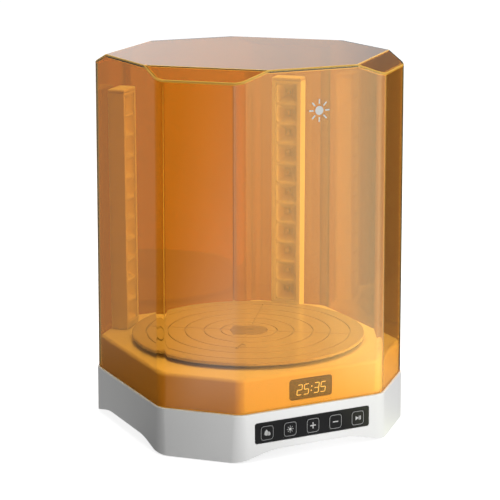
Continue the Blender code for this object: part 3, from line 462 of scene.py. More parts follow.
def front_plate(low, high, radius, near, far, steps=5):
    """Plate with rounded corners facing the front, from near to far along Y."""
    centre = ((low.x + high.x) / 2, (near + far) / 2, (low.z + high.z) / 2)
    return block(centre, (high.x - low.x, far - near, high.z - low.z), round_edges=radius, steps=steps)


def grown(low, high, by):
    """A box's corners, moved out by a clearance."""
    step = Vector((by, by, by))
    return low - step, high + step


def key_cuts():
    """Openings for the five keys, through the front wall and the strip."""
    cuts = []
    for key_name in KEY_NAMES:
        key_low, key_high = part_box(key_name + "_key")
        middle = Vector(((key_low.x + key_high.x) / 2, 0.0, (key_low.z + key_high.z) / 2))
        cuts.append(front_plate(middle - KEY_REACH, middle + KEY_REACH, KEY_ROUND, *FRONT_CUT))
    return cuts


ledge_opening = stacked(((*LEDGE_OPENING, LEDGE_Z - CUT_PAST), (*LEDGE_OPENING, LEDGE_Z + CUT_PAST)))
base_cuts = [base_block(BASE_WALL, FOOT_Z - SLIVER, LEDGE_Z - BASE_WALL), ledge_opening,
             front_plate(*grown(STRIP_LOW, STRIP_HIGH, GAP), STRIP_ROUND, STRIP_CUT, STRIP_HIGH.y + GAP)]
base_cuts += key_cuts()
base_cuts.append(front_plate(*grown(INLET_LOW, INLET_HIGH, GAP), INLET_ROUND, *BACK_CUT))
make("base_shell_moulding", base_block(0.0, FOOT_Z, LEDGE_Z), white_shell, "base",
     ("base_shell",), less=base_cuts, edge=0.0007, edge_steps=3)
for quarter in range(4):
    make(f"corner_sole_{quarter + 1}", corner_sole(quarter), white_shell, "base",
         edge=0.0003)


# ---------------------------------------------------------------- rubber pads and floor plate
# Four round anti-slip pads stuck under the soles, and the grey floor plate that closes the base
# from below. Four plated screws go up through the plate into the deck's posts.

PAD_TREAD = 0.0003
PAD_SIDES = 48
VENT_PITCH = 0.0085
VENT_ROW = -0.0300
VENT_SIZE = (0.0032, 0.0340, 0.0200)


def refined(name, material, edge=0.0003, edge_steps=2, less=()):
    """Finer copy of a simple piece: merged, its flat faces made whole and its sharp edges rounded."""
    source = frame["nodes"][name]
    bm = bmesh.new()
    bm.from_mesh(source.data)
    bmesh.ops.remove_doubles(bm, verts=bm.verts, dist=1e-6)
    bmesh.ops.dissolve_limit(bm, angle_limit=math.radians(1.0), verts=bm.verts, edges=bm.edges)
    return make(name + "_detail", bm, material, source["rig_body"], (name,), less, edge, edge_steps)


def pad(name):
    """Turned disc with a rounded rim and a shallow tread of rings."""
    low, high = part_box(name)
    centre = (low + high) / 2
    radius = (high.x - low.x) / 2
    depth = high.z - low.z
    profile = [(0.0, PAD_TREAD), (radius * 0.25, PAD_TREAD), (radius * 0.29, 0.0), (radius * 0.45, 0.0),
               (radius * 0.49, PAD_TREAD), (radius * 0.60, PAD_TREAD), (radius * 0.64, 0.0),
               (radius * 0.92, 0.0), (radius * 0.98, 0.0002), (radius, 0.0005), (radius, depth), (0.0, depth)]
    return turned(profile, (centre.x, centre.y, low.z), PAD_SIDES)


def turned(profile, centre, sides):
    """Turned solid of a (radius, height) profile that starts and ends on the axis or closes on itself."""
    bm = bmesh.new()
    points = [bm.verts.new((radius, 0.0, height)) for radius, height in profile]
    edges = [bm.edges.new(pair) for pair in zip(points, points[1:])]
    if profile[0][0] > 0.0:
        edges.append(bm.edges.new((points[-1], points[0])))
    bmesh.ops.spin(bm, geom=points + edges, cent=(0.0, 0.0, 0.0), axis=(0.0, 0.0, 1.0), steps=sides,
                   angle=math.tau, use_merge=True)
    bmesh.ops.remove_doubles(bm, verts=bm.verts, dist=1e-7)
    bmesh.ops.recalc_face_normals(bm, faces=bm.faces)
    shift(bm, centre)
    return bm


rubber = surface("tread_rubber", (0.045, 0.045, 0.047), 0.82, speckle=2200.0, relief=0.35, shade=0.18)
for name in sorted(frame["nodes"]):
    if name.startswith("rubber_pad"):
        make(name + "_tread", pad(name), rubber, "base", (name,), edge=0.0)

grey_shell = surface("matt_grey_moulding", (0.42, 0.41, 0.40), 0.52, speckle=700.0, relief=0.12, shade=0.05)
PLATE_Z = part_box("bottom_plate")[0].z
vents = [block((place * VENT_PITCH, VENT_ROW, PLATE_Z), VENT_SIZE) for place in range(-3, 4)]
refined("bottom_plate", grey_shell, edge=0.0004, less=vents)


# ---------------------------------------------------------------- screws
# Zinc plated steel, pan heads with a cross recess. They hold the floor plate, the motor's ears,
# the key board and the feet of the lamp columns.

zinc = surface("zinc_plated_steel", (0.66, 0.67, 0.70), 0.28, metallic=1.0, speckle=3000.0, relief=0.06,
               shade=0.10, rough_spread=0.10)


KEY_BOARD_RECESS = 0.0026
RECESS = 0.0034


def cross_recess(place, axis, reach):
    """Two crossed blades that cut the recess in a head; axis is the way the screw points."""
    blades = []
    for turn in (0.0, math.pi / 2):
        bm = bmesh.new()
        bmesh.ops.create_cube(bm, size=1.0)
        bmesh.ops.scale(bm, verts=bm.verts, vec=(reach, reach * 0.22, reach * 0.9))
        spin = axis.to_track_quat("Z", "Y").to_matrix() @ Matrix.Rotation(turn, 3, "Z")
        rotate(bm, spin)
        shift(bm, place)
        blades.append(bm)
    return blades


for name in sorted(frame["nodes"]):
    if "screw" in name:
        low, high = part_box(name)
        middle = (low + high) / 2
        if name.startswith("key_board"):
            head = Vector((middle.x, high.y, middle.z))
            recess = cross_recess(head, Vector((0.0, -1.0, 0.0)), KEY_BOARD_RECESS)
        else:
            head = Vector((middle.x, middle.y, low.z))
            recess = cross_recess(head, Vector((0.0, 0.0, 1.0)), RECESS)
        refined(name, zinc, 0.0003, 3, recess)


# ---------------------------------------------------------------- boards and leads
# Green glass-fibre boards with copper tracks under the solder mask: the main board on the floor
# plate with its chip, capacitor, buzzer and lead header, the key board and the display board.

def board_finish(name, tilt):
    """Solder mask over a lattice of tracks; tilt turns the pattern into the board's plane."""
    material = surface(name, (0.020, 0.150, 0.055), 0.38, speckle=1600.0, relief=0.05, shade=0.20)
    tree = material.node_tree
    shader = tree.nodes["Principled BSDF"]
    place = node(tree, "ShaderNodeTexCoord").outputs["Object"]
    place = node(tree, "ShaderNodeMapping", {"Vector": place, "Rotation": tilt}).outputs["Vector"]
    tracks = node(tree, "ShaderNodeTexBrick", {"Vector": place, "Color1": (0.0, 0.0, 0.0, 1.0),
                                               "Color2": (0.12, 0.12, 0.12, 1.0), "Mortar": BRIGHT,
                                               "Scale": 90.0, "Mortar Size": 0.05, "Mortar Smooth": 0.2,
                                               "Brick Width": 0.9, "Row Height": 0.18})
    mask = shader.inputs["Base Color"].links[0].from_socket
    blend = node(tree, "ShaderNodeMix", {0: tracks.outputs["Color"], 6: mask, 7: (0.06, 0.30, 0.11, 1.0)},
                 data_type="RGBA")
    tree.links.new(blend.outputs[2], shader.inputs["Base Color"])
    bump = shader.inputs["Normal"].links[0].from_node
    raised = node(tree, "ShaderNodeBump", {"Height": tracks.outputs["Color"], "Strength": 0.25,
                                           "Distance": 0.0002, "Normal": bump.outputs["Normal"]})
    tree.links.new(raised.outputs["Normal"], shader.inputs["Normal"])
    return material


board_flat = board_finish("solder_mask_flat", (0.0, 0.0, 0.0))
board_front = board_finish("solder_mask_front", (math.pi / 2, 0.0, 0.0))
black_case = surface("matt_black_moulding", (0.022, 0.022, 0.024), 0.45, speckle=1500.0, relief=0.12,
                     shade=0.25)
refined("main_board", board_flat, 0.0002)
refined("key_board", board_front, 0.0002)
refined("display_board", board_front, 0.0002)
refined("lead_header", grey_shell, 0.0002)
for name in ("control_chip", "capacitor", "buzzer", "display_module"):
    refined(name, black_case, 0.0002)
for key_name in KEY_NAMES:
    refined(key_name + "_switch", black_case, 0.0003)

sleeve = surface("extruded_sleeve", (0.48, 0.48, 0.47), 0.50, speckle=1200.0, relief=0.10, shade=0.08)
for name in ("lamp_lead_left", "lamp_lead_right", "motor_lead"):
    frame["nodes"][name].data.materials.clear()
    frame["nodes"][name].data.materials.append(sleeve)


# ---------------------------------------------------------------- power inlet
# Black moulded socket for a barrel plug in the back wall, with its centre pin.

refined("power_inlet", black_case, 0.0004, 3)


# ---------------------------------------------------------------- key strip and keys
# Polished black strip let into the front wall, with five square keys flush in it. The outline of
# each key and its symbol are screen printed in pale ink.

black_gloss = surface("polished_black", (0.013, 0.013, 0.014), 0.12, speckle=1800.0, relief=0.015, shade=0.20,
                      rough_spread=0.04)
pale_ink = surface("pale_ink", (0.85, 0.85, 0.84), 0.45, speckle=2500.0, relief=0.10, shade=0.03)
grey_ink = surface("grey_ink", (0.50, 0.50, 0.50), 0.45, speckle=2500.0, relief=0.10, shade=0.05)
INK = 0.00006
OUTLINE = 0.00042
OUTLINE_INSET = 0.0003
KEY_HALF = (0.0060, 0.0062)

make("key_strip_detail", front_plate(STRIP_LOW, STRIP_HIGH, STRIP_ROUND, STRIP_LOW.y, STRIP_HIGH.y),
     black_gloss, "base", ("key_strip",), less=key_cuts(), edge=0.0002)


def ink_shape(shape, place):
    """Put a flat outline, drawn about its own middle, on a front face and give it the ink's thickness."""
    bm = bmesh.new()
    shape(bm)
    bmesh.ops.recalc_face_normals(bm, faces=bm.faces)
    thick = bmesh.ops.extrude_face_region(bm, geom=bm.faces[:])
    raised = [item for item in thick["geom"] if isinstance(item, bmesh.types.BMVert)]
    shift(bm, (0.0, 0.0, INK), raised)
    bmesh.ops.recalc_face_normals(bm, faces=bm.faces)
    rotate(bm, Matrix.Rotation(math.pi / 2, 3, "X"))
    shift(bm, place)
    return bm


def flat_bar(bm, centre, size, turn=0.0):
    """Flat rectangle, turned about the middle of the drawing when asked."""
    made = bmesh.ops.create_grid(bm, x_segments=1, y_segments=1, size=0.5)["verts"]
    bmesh.ops.scale(bm, verts=made, vec=(size[0], size[1], 1.0))
    shift(bm, (centre[0], centre[1], 0.0), made)
    rotate(bm, Matrix.Rotation(turn, 3, "Z"), made)
    return made


def flat_disc(bm, centre, radius, sides=28):
    """Flat round dot."""
    made = bmesh.ops.create_circle(bm, cap_ends=True, segments=sides, radius=radius)["verts"]
    shift(bm, (centre[0], centre[1], 0.0), made)
    return made


def drop(bm, centre, size):
    """Drop with a round foot and a point above it; size is half its height."""
    made = flat_disc(bm, (0.0, 0.0), size, 40)
    for vertex in made:
        turn = math.atan2(abs(vertex.co.x), vertex.co.y)
        vertex.co.x *= 0.98 * math.sin(turn / 2) ** 0.9
    shift(bm, (centre[0], centre[1], 0.0), made)


def droplets_symbol(bm):
    """A large drop and a small one beside it."""
    drop(bm, (-0.0006, 0.0004), 0.0025)
    drop(bm, (0.0017, -0.0006), 0.0017)


def sun_symbol(bm):
    """A disc with eight beams."""
    flat_disc(bm, (0.0, 0.0), 0.0012)
    for beam in range(8):
        flat_bar(bm, (0.0024, 0.0), (0.0013, 0.00040), beam * EIGHTH)


def plus_symbol(bm):
    """A bar with two short ones that meet it, so nothing overlaps."""
    flat_bar(bm, (0.0, 0.0), (0.0052, 0.0009))
    flat_bar(bm, (0.0, 0.00155), (0.0009, 0.0021))
    flat_bar(bm, (0.0, -0.00155), (0.0009, 0.0021))


def minus_symbol(bm):
    """A bar."""
    flat_bar(bm, (0.0, 0.0), (0.0050, 0.0009))


def play_pause_symbol(bm):
    """A triangle that points right and two upright bars."""
    made = bmesh.ops.create_circle(bm, cap_ends=True, segments=3, radius=0.0020)["verts"]
    rotate(bm, Matrix.Rotation(-math.pi / 2, 3, "Z"), made)
    shift(bm, (-0.0011, 0.0, 0.0), made)
    flat_bar(bm, (0.0013, 0.0), (0.0007, 0.0033))
    flat_bar(bm, (0.0025, 0.0), (0.0007, 0.0033))


SYMBOLS = {"droplets": droplets_symbol, "sun": sun_symbol, "plus": plus_symbol, "minus": minus_symbol,
           "play_pause": play_pause_symbol}
for key_name in KEY_NAMES:
    key_low, key_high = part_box(key_name + "_key")
    front = key_low.y
    middle = Vector(((key_low.x + key_high.x) / 2, front, (key_low.z + key_high.z) / 2))
    body = key_name + "_button"
    refined(key_name + "_key", black_gloss, 0.0002, 2)
    reach = Vector((KEY_HALF[0] - OUTLINE_INSET, 0.0, KEY_HALF[1] - OUTLINE_INSET))
    line = Vector((OUTLINE, 0.0, OUTLINE))
    ring_round = KEY_ROUND - OUTLINE_INSET
    hollow = front_plate(middle - reach + line, middle + reach - line, ring_round - OUTLINE, front - 0.001,
                         front + 0.001, 8)
    ring = front_plate(middle - reach, middle + reach, ring_round, front - INK, front + INK / 2, 8)
    make(key_name + "_outline", ring, grey_ink, body, less=[hollow], edge=0.0)
    make(key_name + "_symbol", ink_shape(SYMBOLS[key_name], middle), pale_ink, body,
         edge=0.0)


# ---------------------------------------------------------------- deck
# White lid of the base inside the hood, a moulding with a skirt and a rounded top edge. Its front
# has the opening for the display, between two ribs. Posts under it take the floor plate's screws and
# the motor's ears, and the columns stand on it.

white_deck = surface("satin_white_deck", WHITE, 0.30, relief=0.04, shade=0.012)
DECK_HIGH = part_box("deck")[1]
DECK_HALF = DECK_HIGH.x
DECK_FACE = 0.0642
DECK_ROUND = 0.0110
DECK_EDGE = 0.0030
DECK_WALL = 0.0022
SKIRT_LOW = LEDGE_Z + GAP
LENS_LOW, LENS_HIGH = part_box("display_lens")
LENS_CUT = (0.0028, -0.1140)
BUSH_BORE = 0.0065
DECK_BORE_Z = (0.060, 0.075)
SCREW_BORE = 0.0018
MODULE_CUT = {"inset": 0.0020, "height": 0.0544, "size": (0.0350, 0.0060, 0.0132)}
POST_RADIUS = 0.0042
POST_SIDES = 32
EAR_POST = (0.0275, 0.0563, 0.0036)
RIB = (0.0215, 0.0054, 0.0544)
RIB_SIZE = (0.0024, 0.0070, 0.0100)
PLATE_TOP = PLATE_Z + 0.0022
UNDER_DECK = DECK_HIGH.z - DECK_WALL + 0.0005

bm = stacked([(DECK_HALF, DECK_FACE, DECK_ROUND, height) for height in (SKIRT_LOW, DECK_HIGH.z)], 10)
rim = [edge for edge in bm.edges if min(v.co.z for v in edge.verts) > DECK_HIGH.z - 1e-6]
bmesh.ops.bevel(bm, geom=rim, offset=DECK_EDGE, segments=6, profile=0.5, affect="EDGES", material=-1)
narrow = DECK_WALL * math.tan(EIGHTH / 2)
hollow = stacked([(DECK_HALF - DECK_WALL, DECK_FACE - narrow, DECK_ROUND - DECK_WALL, height)
                  for height in (SKIRT_LOW - 0.005, DECK_HIGH.z - DECK_WALL)])
deck_cuts = [hollow, upright(Vector(), *DECK_BORE_Z, BUSH_BORE, 48),
             front_plate(*grown(LENS_LOW, LENS_HIGH, GAP), *LENS_CUT, LENS_HIGH.y + GAP, 8),
             block((0.0, -DECK_HALF + MODULE_CUT["inset"], MODULE_CUT["height"]), MODULE_CUT["size"])]
for name in sorted(frame["nodes"]):
    if name.startswith("column_screw"):
        low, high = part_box(name)
        middle = (low + high) / 2
        deck_cuts.append(upright(middle, *DECK_BORE_Z, SCREW_BORE))
make("deck_moulding", bm, white_deck, "base", ("deck",), less=deck_cuts, edge=0.0003)

for name in sorted(frame["nodes"]):
    if name.startswith("bottom_screw"):
        low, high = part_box(name)
        middle = (low + high) / 2
        bore = upright(middle, PLATE_TOP - 0.001, high.z + 0.002, SCREW_BORE)
        post = upright(middle, PLATE_TOP + GAP, UNDER_DECK, POST_RADIUS, POST_SIDES)
        make(name.replace("bottom_screw", "deck_post"), post, white_deck, "base",
             less=[bore])
for side, name in ((-1, "left"), (1, "right")):
    place = Vector((side * EAR_POST[0], 0.0, 0.0))
    bore = upright(place, EAR_POST[1] - 0.001, EAR_POST[1] + 0.007, SCREW_BORE)
    post = upright(place, EAR_POST[1], UNDER_DECK, EAR_POST[2], POST_SIDES)
    make(f"ear_post_{name}", post, white_deck, "base", less=[bore])
    make(f"display_rib_{name}", block((side * RIB[0], -DECK_HALF + RIB[1], RIB[2]), RIB_SIZE), white_deck,
         "base")


# ---------------------------------------------------------------- display
# Smoked acrylic window let into the front of the deck. The four-figure timer is a thin lit layer
# on its face.

smoked = surface("smoked_window", (0.17, 0.25, 0.46), 0.16, speckle=1500.0, relief=0.01, shade=0.06,
                 rough_spread=0.03)
make("display_window", front_plate(LENS_LOW, LENS_HIGH, 0.0025, LENS_LOW.y, LENS_HIGH.y, 8), smoked, "base",
     ("display_lens",), edge=0.0002)

lit_segment = surface("lit_segment", (0.90, 0.90, 0.90), 0.40, speckle=2500.0, relief=0.05, shade=0.04)
glow_shader = lit_segment.node_tree.nodes["Principled BSDF"]
glow_shader.inputs["Emission Color"].default_value = (0.62, 0.90, 1.0, 1.0)
glow_shader.inputs["Emission Strength"].default_value = 1.3
SEGMENTS = {"2": "abged", "3": "abgcd", "5": "afgcd"}
FIGURE_SIZE = (0.0042, 0.0084)
FIGURE_STROKE = 0.00058
FIGURE_PLACES = ((-0.0106, "2"), (-0.0043, "5"), (0.0050, "3"), (0.0112, "5"))
FIGURE_SHIFT = (0.0002, -0.0006)
COLON = {"across": 0.0004, "heights": (0.0018, -0.0018), "radius": 0.00060}
SLANT = 0.12


def figure(bm, text, across):
    """One seven-segment figure about its own middle."""
    wide, high = FIGURE_SIZE[0] / 2, FIGURE_SIZE[1] / 2
    level = {"a": high, "g": 0.0, "d": -high}
    upright = {"b": (wide, high / 2), "c": (wide, -high / 2), "e": (-wide, -high / 2), "f": (-wide, high / 2)}
    for part in SEGMENTS[text]:
        if part in level:
            flat_bar(bm, (across, level[part]), (FIGURE_SIZE[0] - FIGURE_STROKE, FIGURE_STROKE))
        else:
            place = upright[part]
            flat_bar(bm, (across + place[0], place[1]), (FIGURE_STROKE, high - FIGURE_STROKE * 0.4))


def timer_figures(bm):
    """Four figures with a colon between the pairs, all on a slant."""
    for across, text in FIGURE_PLACES:
        figure(bm, text, across)
    for height in COLON["heights"]:
        flat_disc(bm, (COLON["across"], height), COLON["radius"], 16)
    for vertex in bm.verts:
        vertex.co.x += vertex.co.y * SLANT


lens_middle = (LENS_LOW + LENS_HIGH) / 2
figures_place = (lens_middle.x + FIGURE_SHIFT[0], LENS_LOW.y, lens_middle.z + FIGURE_SHIFT[1])
make("timer_figures", ink_shape(timer_figures, figures_place), lit_segment, "base",
     edge=0.0)


# ---------------------------------------------------------------- motor, bush and shaft
# Flat geared motor in a plated can under the deck, a brass bush in the deck and the ground steel
# shaft that carries the turntable.

refined("gear_motor", zinc, 0.0005, 3)
brass = surface("turned_brass", (0.66, 0.46, 0.19), 0.30, metallic=1.0, speckle=1800.0, relief=0.10,
                shade=0.10)
refined("shaft_bush", brass, 0.0002)
refined("drive_shaft", zinc, 0.0002)


# ---------------------------------------------------------------- turntable
# Glossy plate that turns on the hub, with turned grooves and two fine lines to centre a print by,
# and a round cap in its middle.

TABLE_LOW, TABLE_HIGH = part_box("turntable")
TABLE_RADIUS = TABLE_HIGH.x
GROOVES = (0.0240, 0.0385, 0.0550, 0.0700, 0.0870)
GROOVE_WIDTH = 0.0013
GROOVE_DEPTH = 0.0011
LINE_ENDS = (0.0170, 0.0860)
LINE_CUT = (0.0010, 0.0014)
LINE_TURNS = (55.0, 145.0, 235.0, 325.0)
TABLE_PLATE = 0.0028
TABLE_EDGE = 0.0009
TABLE_CHAMFER = 0.0006
TABLE_RIM = (0.0975, 0.0930)
HUB_BORE = 0.0065
CAP_LOW, CAP_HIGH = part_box("turntable_cap")
CAP_RADIUS = CAP_HIGH.x
CAP_EDGE = 0.0006
DIMPLE = (0.0045, 0.0040, 0.0004)


def table_finish():
    """Polished plastic with faint turning marks that run round the axis."""
    material = surface("turned_white_table", (0.50, 0.49, 0.47), 0.14, speckle=1200.0, relief=0.01,
                       shade=0.03, rough_spread=0.04)
    tree = material.node_tree
    shader = tree.nodes["Principled BSDF"]
    place = node(tree, "ShaderNodeTexCoord").outputs["Object"]
    marks = node(tree, "ShaderNodeTexWave", {"Vector": place, "Scale": 260.0, "Distortion": 0.6,
                                             "Detail": 2.0}, wave_type="RINGS", rings_direction="Z")
    bump = shader.inputs["Normal"].links[0].from_node
    raised = node(tree, "ShaderNodeBump", {"Height": marks.outputs["Fac"], "Strength": 0.04,
                                           "Distance": 0.0002, "Normal": bump.outputs["Normal"]})
    tree.links.new(raised.outputs["Normal"], shader.inputs["Normal"])
    return material


top, low = TABLE_HIGH.z, TABLE_HIGH.z - TABLE_PLATE
profile = [(CAP_RADIUS + GAP, top)]
for radius in GROOVES:
    profile += [(radius - GROOVE_WIDTH / 2, top), (radius - GROOVE_WIDTH / 4, top - GROOVE_DEPTH),
                (radius + GROOVE_WIDTH / 4, top - GROOVE_DEPTH), (radius + GROOVE_WIDTH / 2, top)]
for step in range(7):
    angle = math.pi / 2 * step / 6
    profile.append((TABLE_RADIUS - TABLE_EDGE + TABLE_EDGE * math.sin(angle),
                    top - TABLE_EDGE + TABLE_EDGE * math.cos(angle)))
profile += [(TABLE_RADIUS, low + TABLE_CHAMFER), (TABLE_RADIUS - TABLE_CHAMFER, low),
            (TABLE_RIM[0], TABLE_LOW.z), (TABLE_RIM[1], low), (HUB_BORE, low), (HUB_BORE, CAP_LOW.z - GAP),
            (CAP_RADIUS + GAP, CAP_LOW.z - GAP)]
line_cuts = [block((sum(LINE_ENDS) / 2, 0.0, top), (LINE_ENDS[1] - LINE_ENDS[0], *LINE_CUT),
                   Matrix.Rotation(math.radians(turn), 3, "Z")) for turn in LINE_TURNS]
table_white = table_finish()
make("turntable_plate", turned(profile, (0.0, 0.0, 0.0), 160), table_white, "table",
     ("turntable",), less=line_cuts, edge=0.0)
cap_profile = [(0.0, CAP_LOW.z), (CAP_RADIUS, CAP_LOW.z)]
for step in range(5):
    angle = math.pi / 2 * step / 4
    cap_profile.append((CAP_RADIUS - CAP_EDGE + CAP_EDGE * math.cos(angle),
                        CAP_HIGH.z - CAP_EDGE + CAP_EDGE * math.sin(angle)))
cap_profile += [(DIMPLE[0], CAP_HIGH.z), (DIMPLE[1], CAP_HIGH.z - DIMPLE[2]), (0.0, CAP_HIGH.z - DIMPLE[2])]
grey_cap = surface("grey_cap", (0.36, 0.35, 0.34), 0.35, speckle=900.0, relief=0.05, shade=0.04)
make("turntable_cap_detail", turned(cap_profile, (0.0, 0.0, 0.0), 96), grey_cap, "table",
     ("turntable_cap",), edge=0.0)
refined("turntable_hub", grey_shell, 0.0003)


# ---------------------------------------------------------------- lamp columns
# Two white housings at the back corners, screwed to the deck, each with a cap. A strip of eleven
# square cups in bright plastic sits in the recess, over a board with one lamp behind each cup.

COLUMN_FRONT = 0.1062
CUP_SET_BACK = 0.0008
CUP_CUT_PAST = 0.0010
CUP_STEPS = 5
CUP_CURVE = 1.7
CUP_ROUND = 0.14
REFLECTOR_WIDTH = 0.0200
CELLS = 11
CELL_PITCH = 0.0182
CUP_DEPTH = 0.0070
CUP_MOUTH = (0.0188, 0.0168)
CUP_FLOOR = (0.0064, 0.0058)
column_white = surface("satin_white_column", WHITE, 0.32, relief=0.05, shade=0.015)
silvered = surface("silvered_cup", (0.82, 0.82, 0.81), 0.42, metallic=0.15, speckle=700.0, relief=0.10)
lens_resin = surface("lamp_resin", (0.82, 0.80, 0.62), 0.20, speckle=2500.0, relief=0.02, shade=0.05)


def cup(centre, front, turn):
    """Square cup that narrows to the lamp in curved steps; used to hollow out the strip."""
    bm = bmesh.new()
    rings = []
    for step in range(CUP_STEPS + 1):
        share = step / CUP_STEPS
        bulge = 1.0 - share ** CUP_CURVE
        wide = CUP_FLOOR[0] + (CUP_MOUTH[0] - CUP_FLOOR[0]) * bulge
        high = CUP_FLOOR[1] + (CUP_MOUTH[1] - CUP_FLOOR[1]) * bulge
        made = bmesh.ops.create_grid(bm, x_segments=1, y_segments=1, size=0.5)["verts"]
        bmesh.ops.scale(bm, verts=made, vec=(wide, high, 1.0))
        made = bmesh.ops.bevel(bm, geom=made, offset=min(wide, high) * CUP_ROUND, offset_type="ABSOLUTE",
                               segments=3, profile=0.5, affect="VERTICES", material=-1)["verts"]
        lid = max(made[0].link_faces, key=lambda item: len(item.verts))
        depth = -CUP_SET_BACK + (CUP_DEPTH + CUP_CUT_PAST) * share
        shift(bm, (0.0, 0.0, depth), list(lid.verts))
        rings.append(list(lid.edges))
        bmesh.ops.delete(bm, geom=[lid], context="FACES_ONLY")
    for near, far in zip(rings, rings[1:]):
        bmesh.ops.bridge_loops(bm, edges=near + far)
    bmesh.ops.holes_fill(bm, edges=rings[0] + rings[-1], sides=0)
    bmesh.ops.recalc_face_normals(bm, faces=bm.faces)
    rotate(bm, Matrix.Rotation(-math.pi / 2, 3, "X"))
    shift(bm, (0.0, front, centre))
    rotate(bm, turn)
    return bm


LAMP_FACE = 0.1143
LAMP_PACKAGE = (0.0065, 0.0005, 0.0059)
DOME_RADIUS = 0.0017
DOME_FOOT = 0.0004
DOME_RISE = 0.0009
DOME_GAP = 0.00005


def lamp(centre, turn):
    """Square package with a low clear dome on it, facing the front of the column."""
    bm = block((0.0, LAMP_FACE - LAMP_PACKAGE[1] / 2, centre), LAMP_PACKAGE, round_edges=0.0006)
    dome_profile = [(0.0, 0.0), (DOME_RADIUS, 0.0)]
    for step in range(7):
        angle = step * math.pi / 12
        dome_profile.append((DOME_RADIUS * math.cos(angle), DOME_FOOT + DOME_RISE * math.sin(angle)))
    dome = turned(dome_profile, (0.0, 0.0, 0.0), 24)
    rotate(dome, Matrix.Rotation(math.pi / 2, 3, "X"))
    shift(dome, (0.0, LAMP_FACE - LAMP_PACKAGE[1] - DOME_GAP, centre))
    spare = bpy.data.meshes.new("dome")
    dome.to_mesh(spare)
    dome.free()
    bm.from_mesh(spare)
    bpy.data.meshes.remove(spare)
    rotate(bm, turn)
    return bm


for side, name in ((-1, "left"), (1, "right")):
    turn = Matrix.Rotation(-side * EIGHTH, 3, "Z")
    refined(f"column_housing_{name}", column_white, 0.0005, 3)
    refined(f"column_cap_{name}", column_white, 0.0004, 3)
    low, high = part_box(f"reflector_{name}")
    front = COLUMN_FRONT + CUP_SET_BACK
    strip = block((0.0, front + CUP_DEPTH / 2, (low.z + high.z) / 2),
                  (REFLECTOR_WIDTH, CUP_DEPTH, high.z - low.z), turn)
    cups = [cup(low.z + (index + 0.5) * CELL_PITCH, front, turn) for index in range(CELLS)]
    make(f"reflector_strip_{name}", strip, silvered, "base", (f"reflector_{name}",),
         less=cups, edge=0.0)
    board_turned = board_finish(f"solder_mask_{name}", (math.pi / 2, 0.0, side * EIGHTH))
    refined(f"lamp_board_{name}", board_turned, 0.0002)
    for index in range(CELLS):
        make(f"lamp_{name}_{index + 1}", lamp(low.z + (index + 0.5) * CELL_PITCH, turn), lens_resin, "base",
             edge=0.0)


# ---------------------------------------------------------------- hood
# Lift-off hood moulded in one from clear orange acrylic: a tapered octagonal tower with rounded
# upright edges and a sloping facet over each corner. It stands on the ledge round the deck. Its rims
# are a strip of gold, part-clear finish: painted glow that stands in for the light that real clear
# sheet gathers at its edges. A white sun is printed near the top in front.

HOOD_LOW, HOOD_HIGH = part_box("hood")
HOOD_WALL = 0.0026
HOOD_ROUND = 0.0125
HOOD_INNER_ROUND = 0.0148
GLOW_BAND = 0.0014
HOOD_FOOT = (HOOD_HIGH.x, 0.0659)
HOOD_SHOULDER = (0.1131, 0.0649, 0.3075)
HOOD_CREST = 0.0393
HOOD_TINT = (0.93, 0.50, 0.10)
HOOD_SHADE = (1.0, 0.97, 0.77, 1.0)
HOOD_INDEX = 1.49
# Gold of the hood's rims: painted edge glow, standing in for light gathered at the edges of clear sheet.
EDGE_GLOW_GOLD = (0.95, 0.55, 0.08)


def hood_block(inset, low, high):
    """The hood's outer form, or its hollow when inset by the wall."""
    narrow = inset * math.tan(EIGHTH / 2)
    sections = []
    for height in (low, high):
        share = (height - HOOD_LOW.z) / (HOOD_SHOULDER[2] - HOOD_LOW.z)
        half = HOOD_FOOT[0] + (HOOD_SHOULDER[0] - HOOD_FOOT[0]) * share - inset
        face = HOOD_FOOT[1] + (HOOD_SHOULDER[1] - HOOD_FOOT[1]) * share - narrow
        sections.append((half, face, HOOD_ROUND if inset == 0.0 else HOOD_INNER_ROUND, height))
    bm = stacked(sections)
    outer = (HOOD_SHOULDER[0] + HOOD_SHOULDER[1]) * math.sqrt(0.5)
    crest = (HOOD_SHOULDER[0] + HOOD_CREST) * math.sqrt(0.5)
    rise = Vector((HOOD_HIGH.z - HOOD_SHOULDER[2], outer - crest)).normalized()
    for corner in range(4):
        heading_angle = EIGHTH + corner * math.pi / 2
        radial = Vector((math.cos(heading_angle), math.sin(heading_angle), 0.0))
        normal = radial * rise.x + Vector((0.0, 0.0, rise.y))
        slice_off(bm, radial * outer + Vector((0.0, 0.0, HOOD_SHOULDER[2])) - normal * inset, normal)
    return bm


def painted_glow_band(bm):
    """Split off the strip of each upright face that lies level with the wall of the top; these strips get the
    painted edge glow.
    """
    tops = [(face.normal.copy(), face.calc_center_median()) for face in bm.faces if face.normal.z > 0.5]
    for normal, place in tops:
        bmesh.ops.bisect_plane(bm, geom=whole_mesh(bm), dist=1e-7, plane_co=place - normal * GLOW_BAND,
                               plane_no=normal)
    for face in bm.faces:
        centre = face.calc_center_median()
        sunk = min((place - centre).dot(normal) for normal, place in tops)
        if abs(face.normal.z) < 0.2 and sunk < GLOW_BAND:
            face.material_index = 1
    return bm


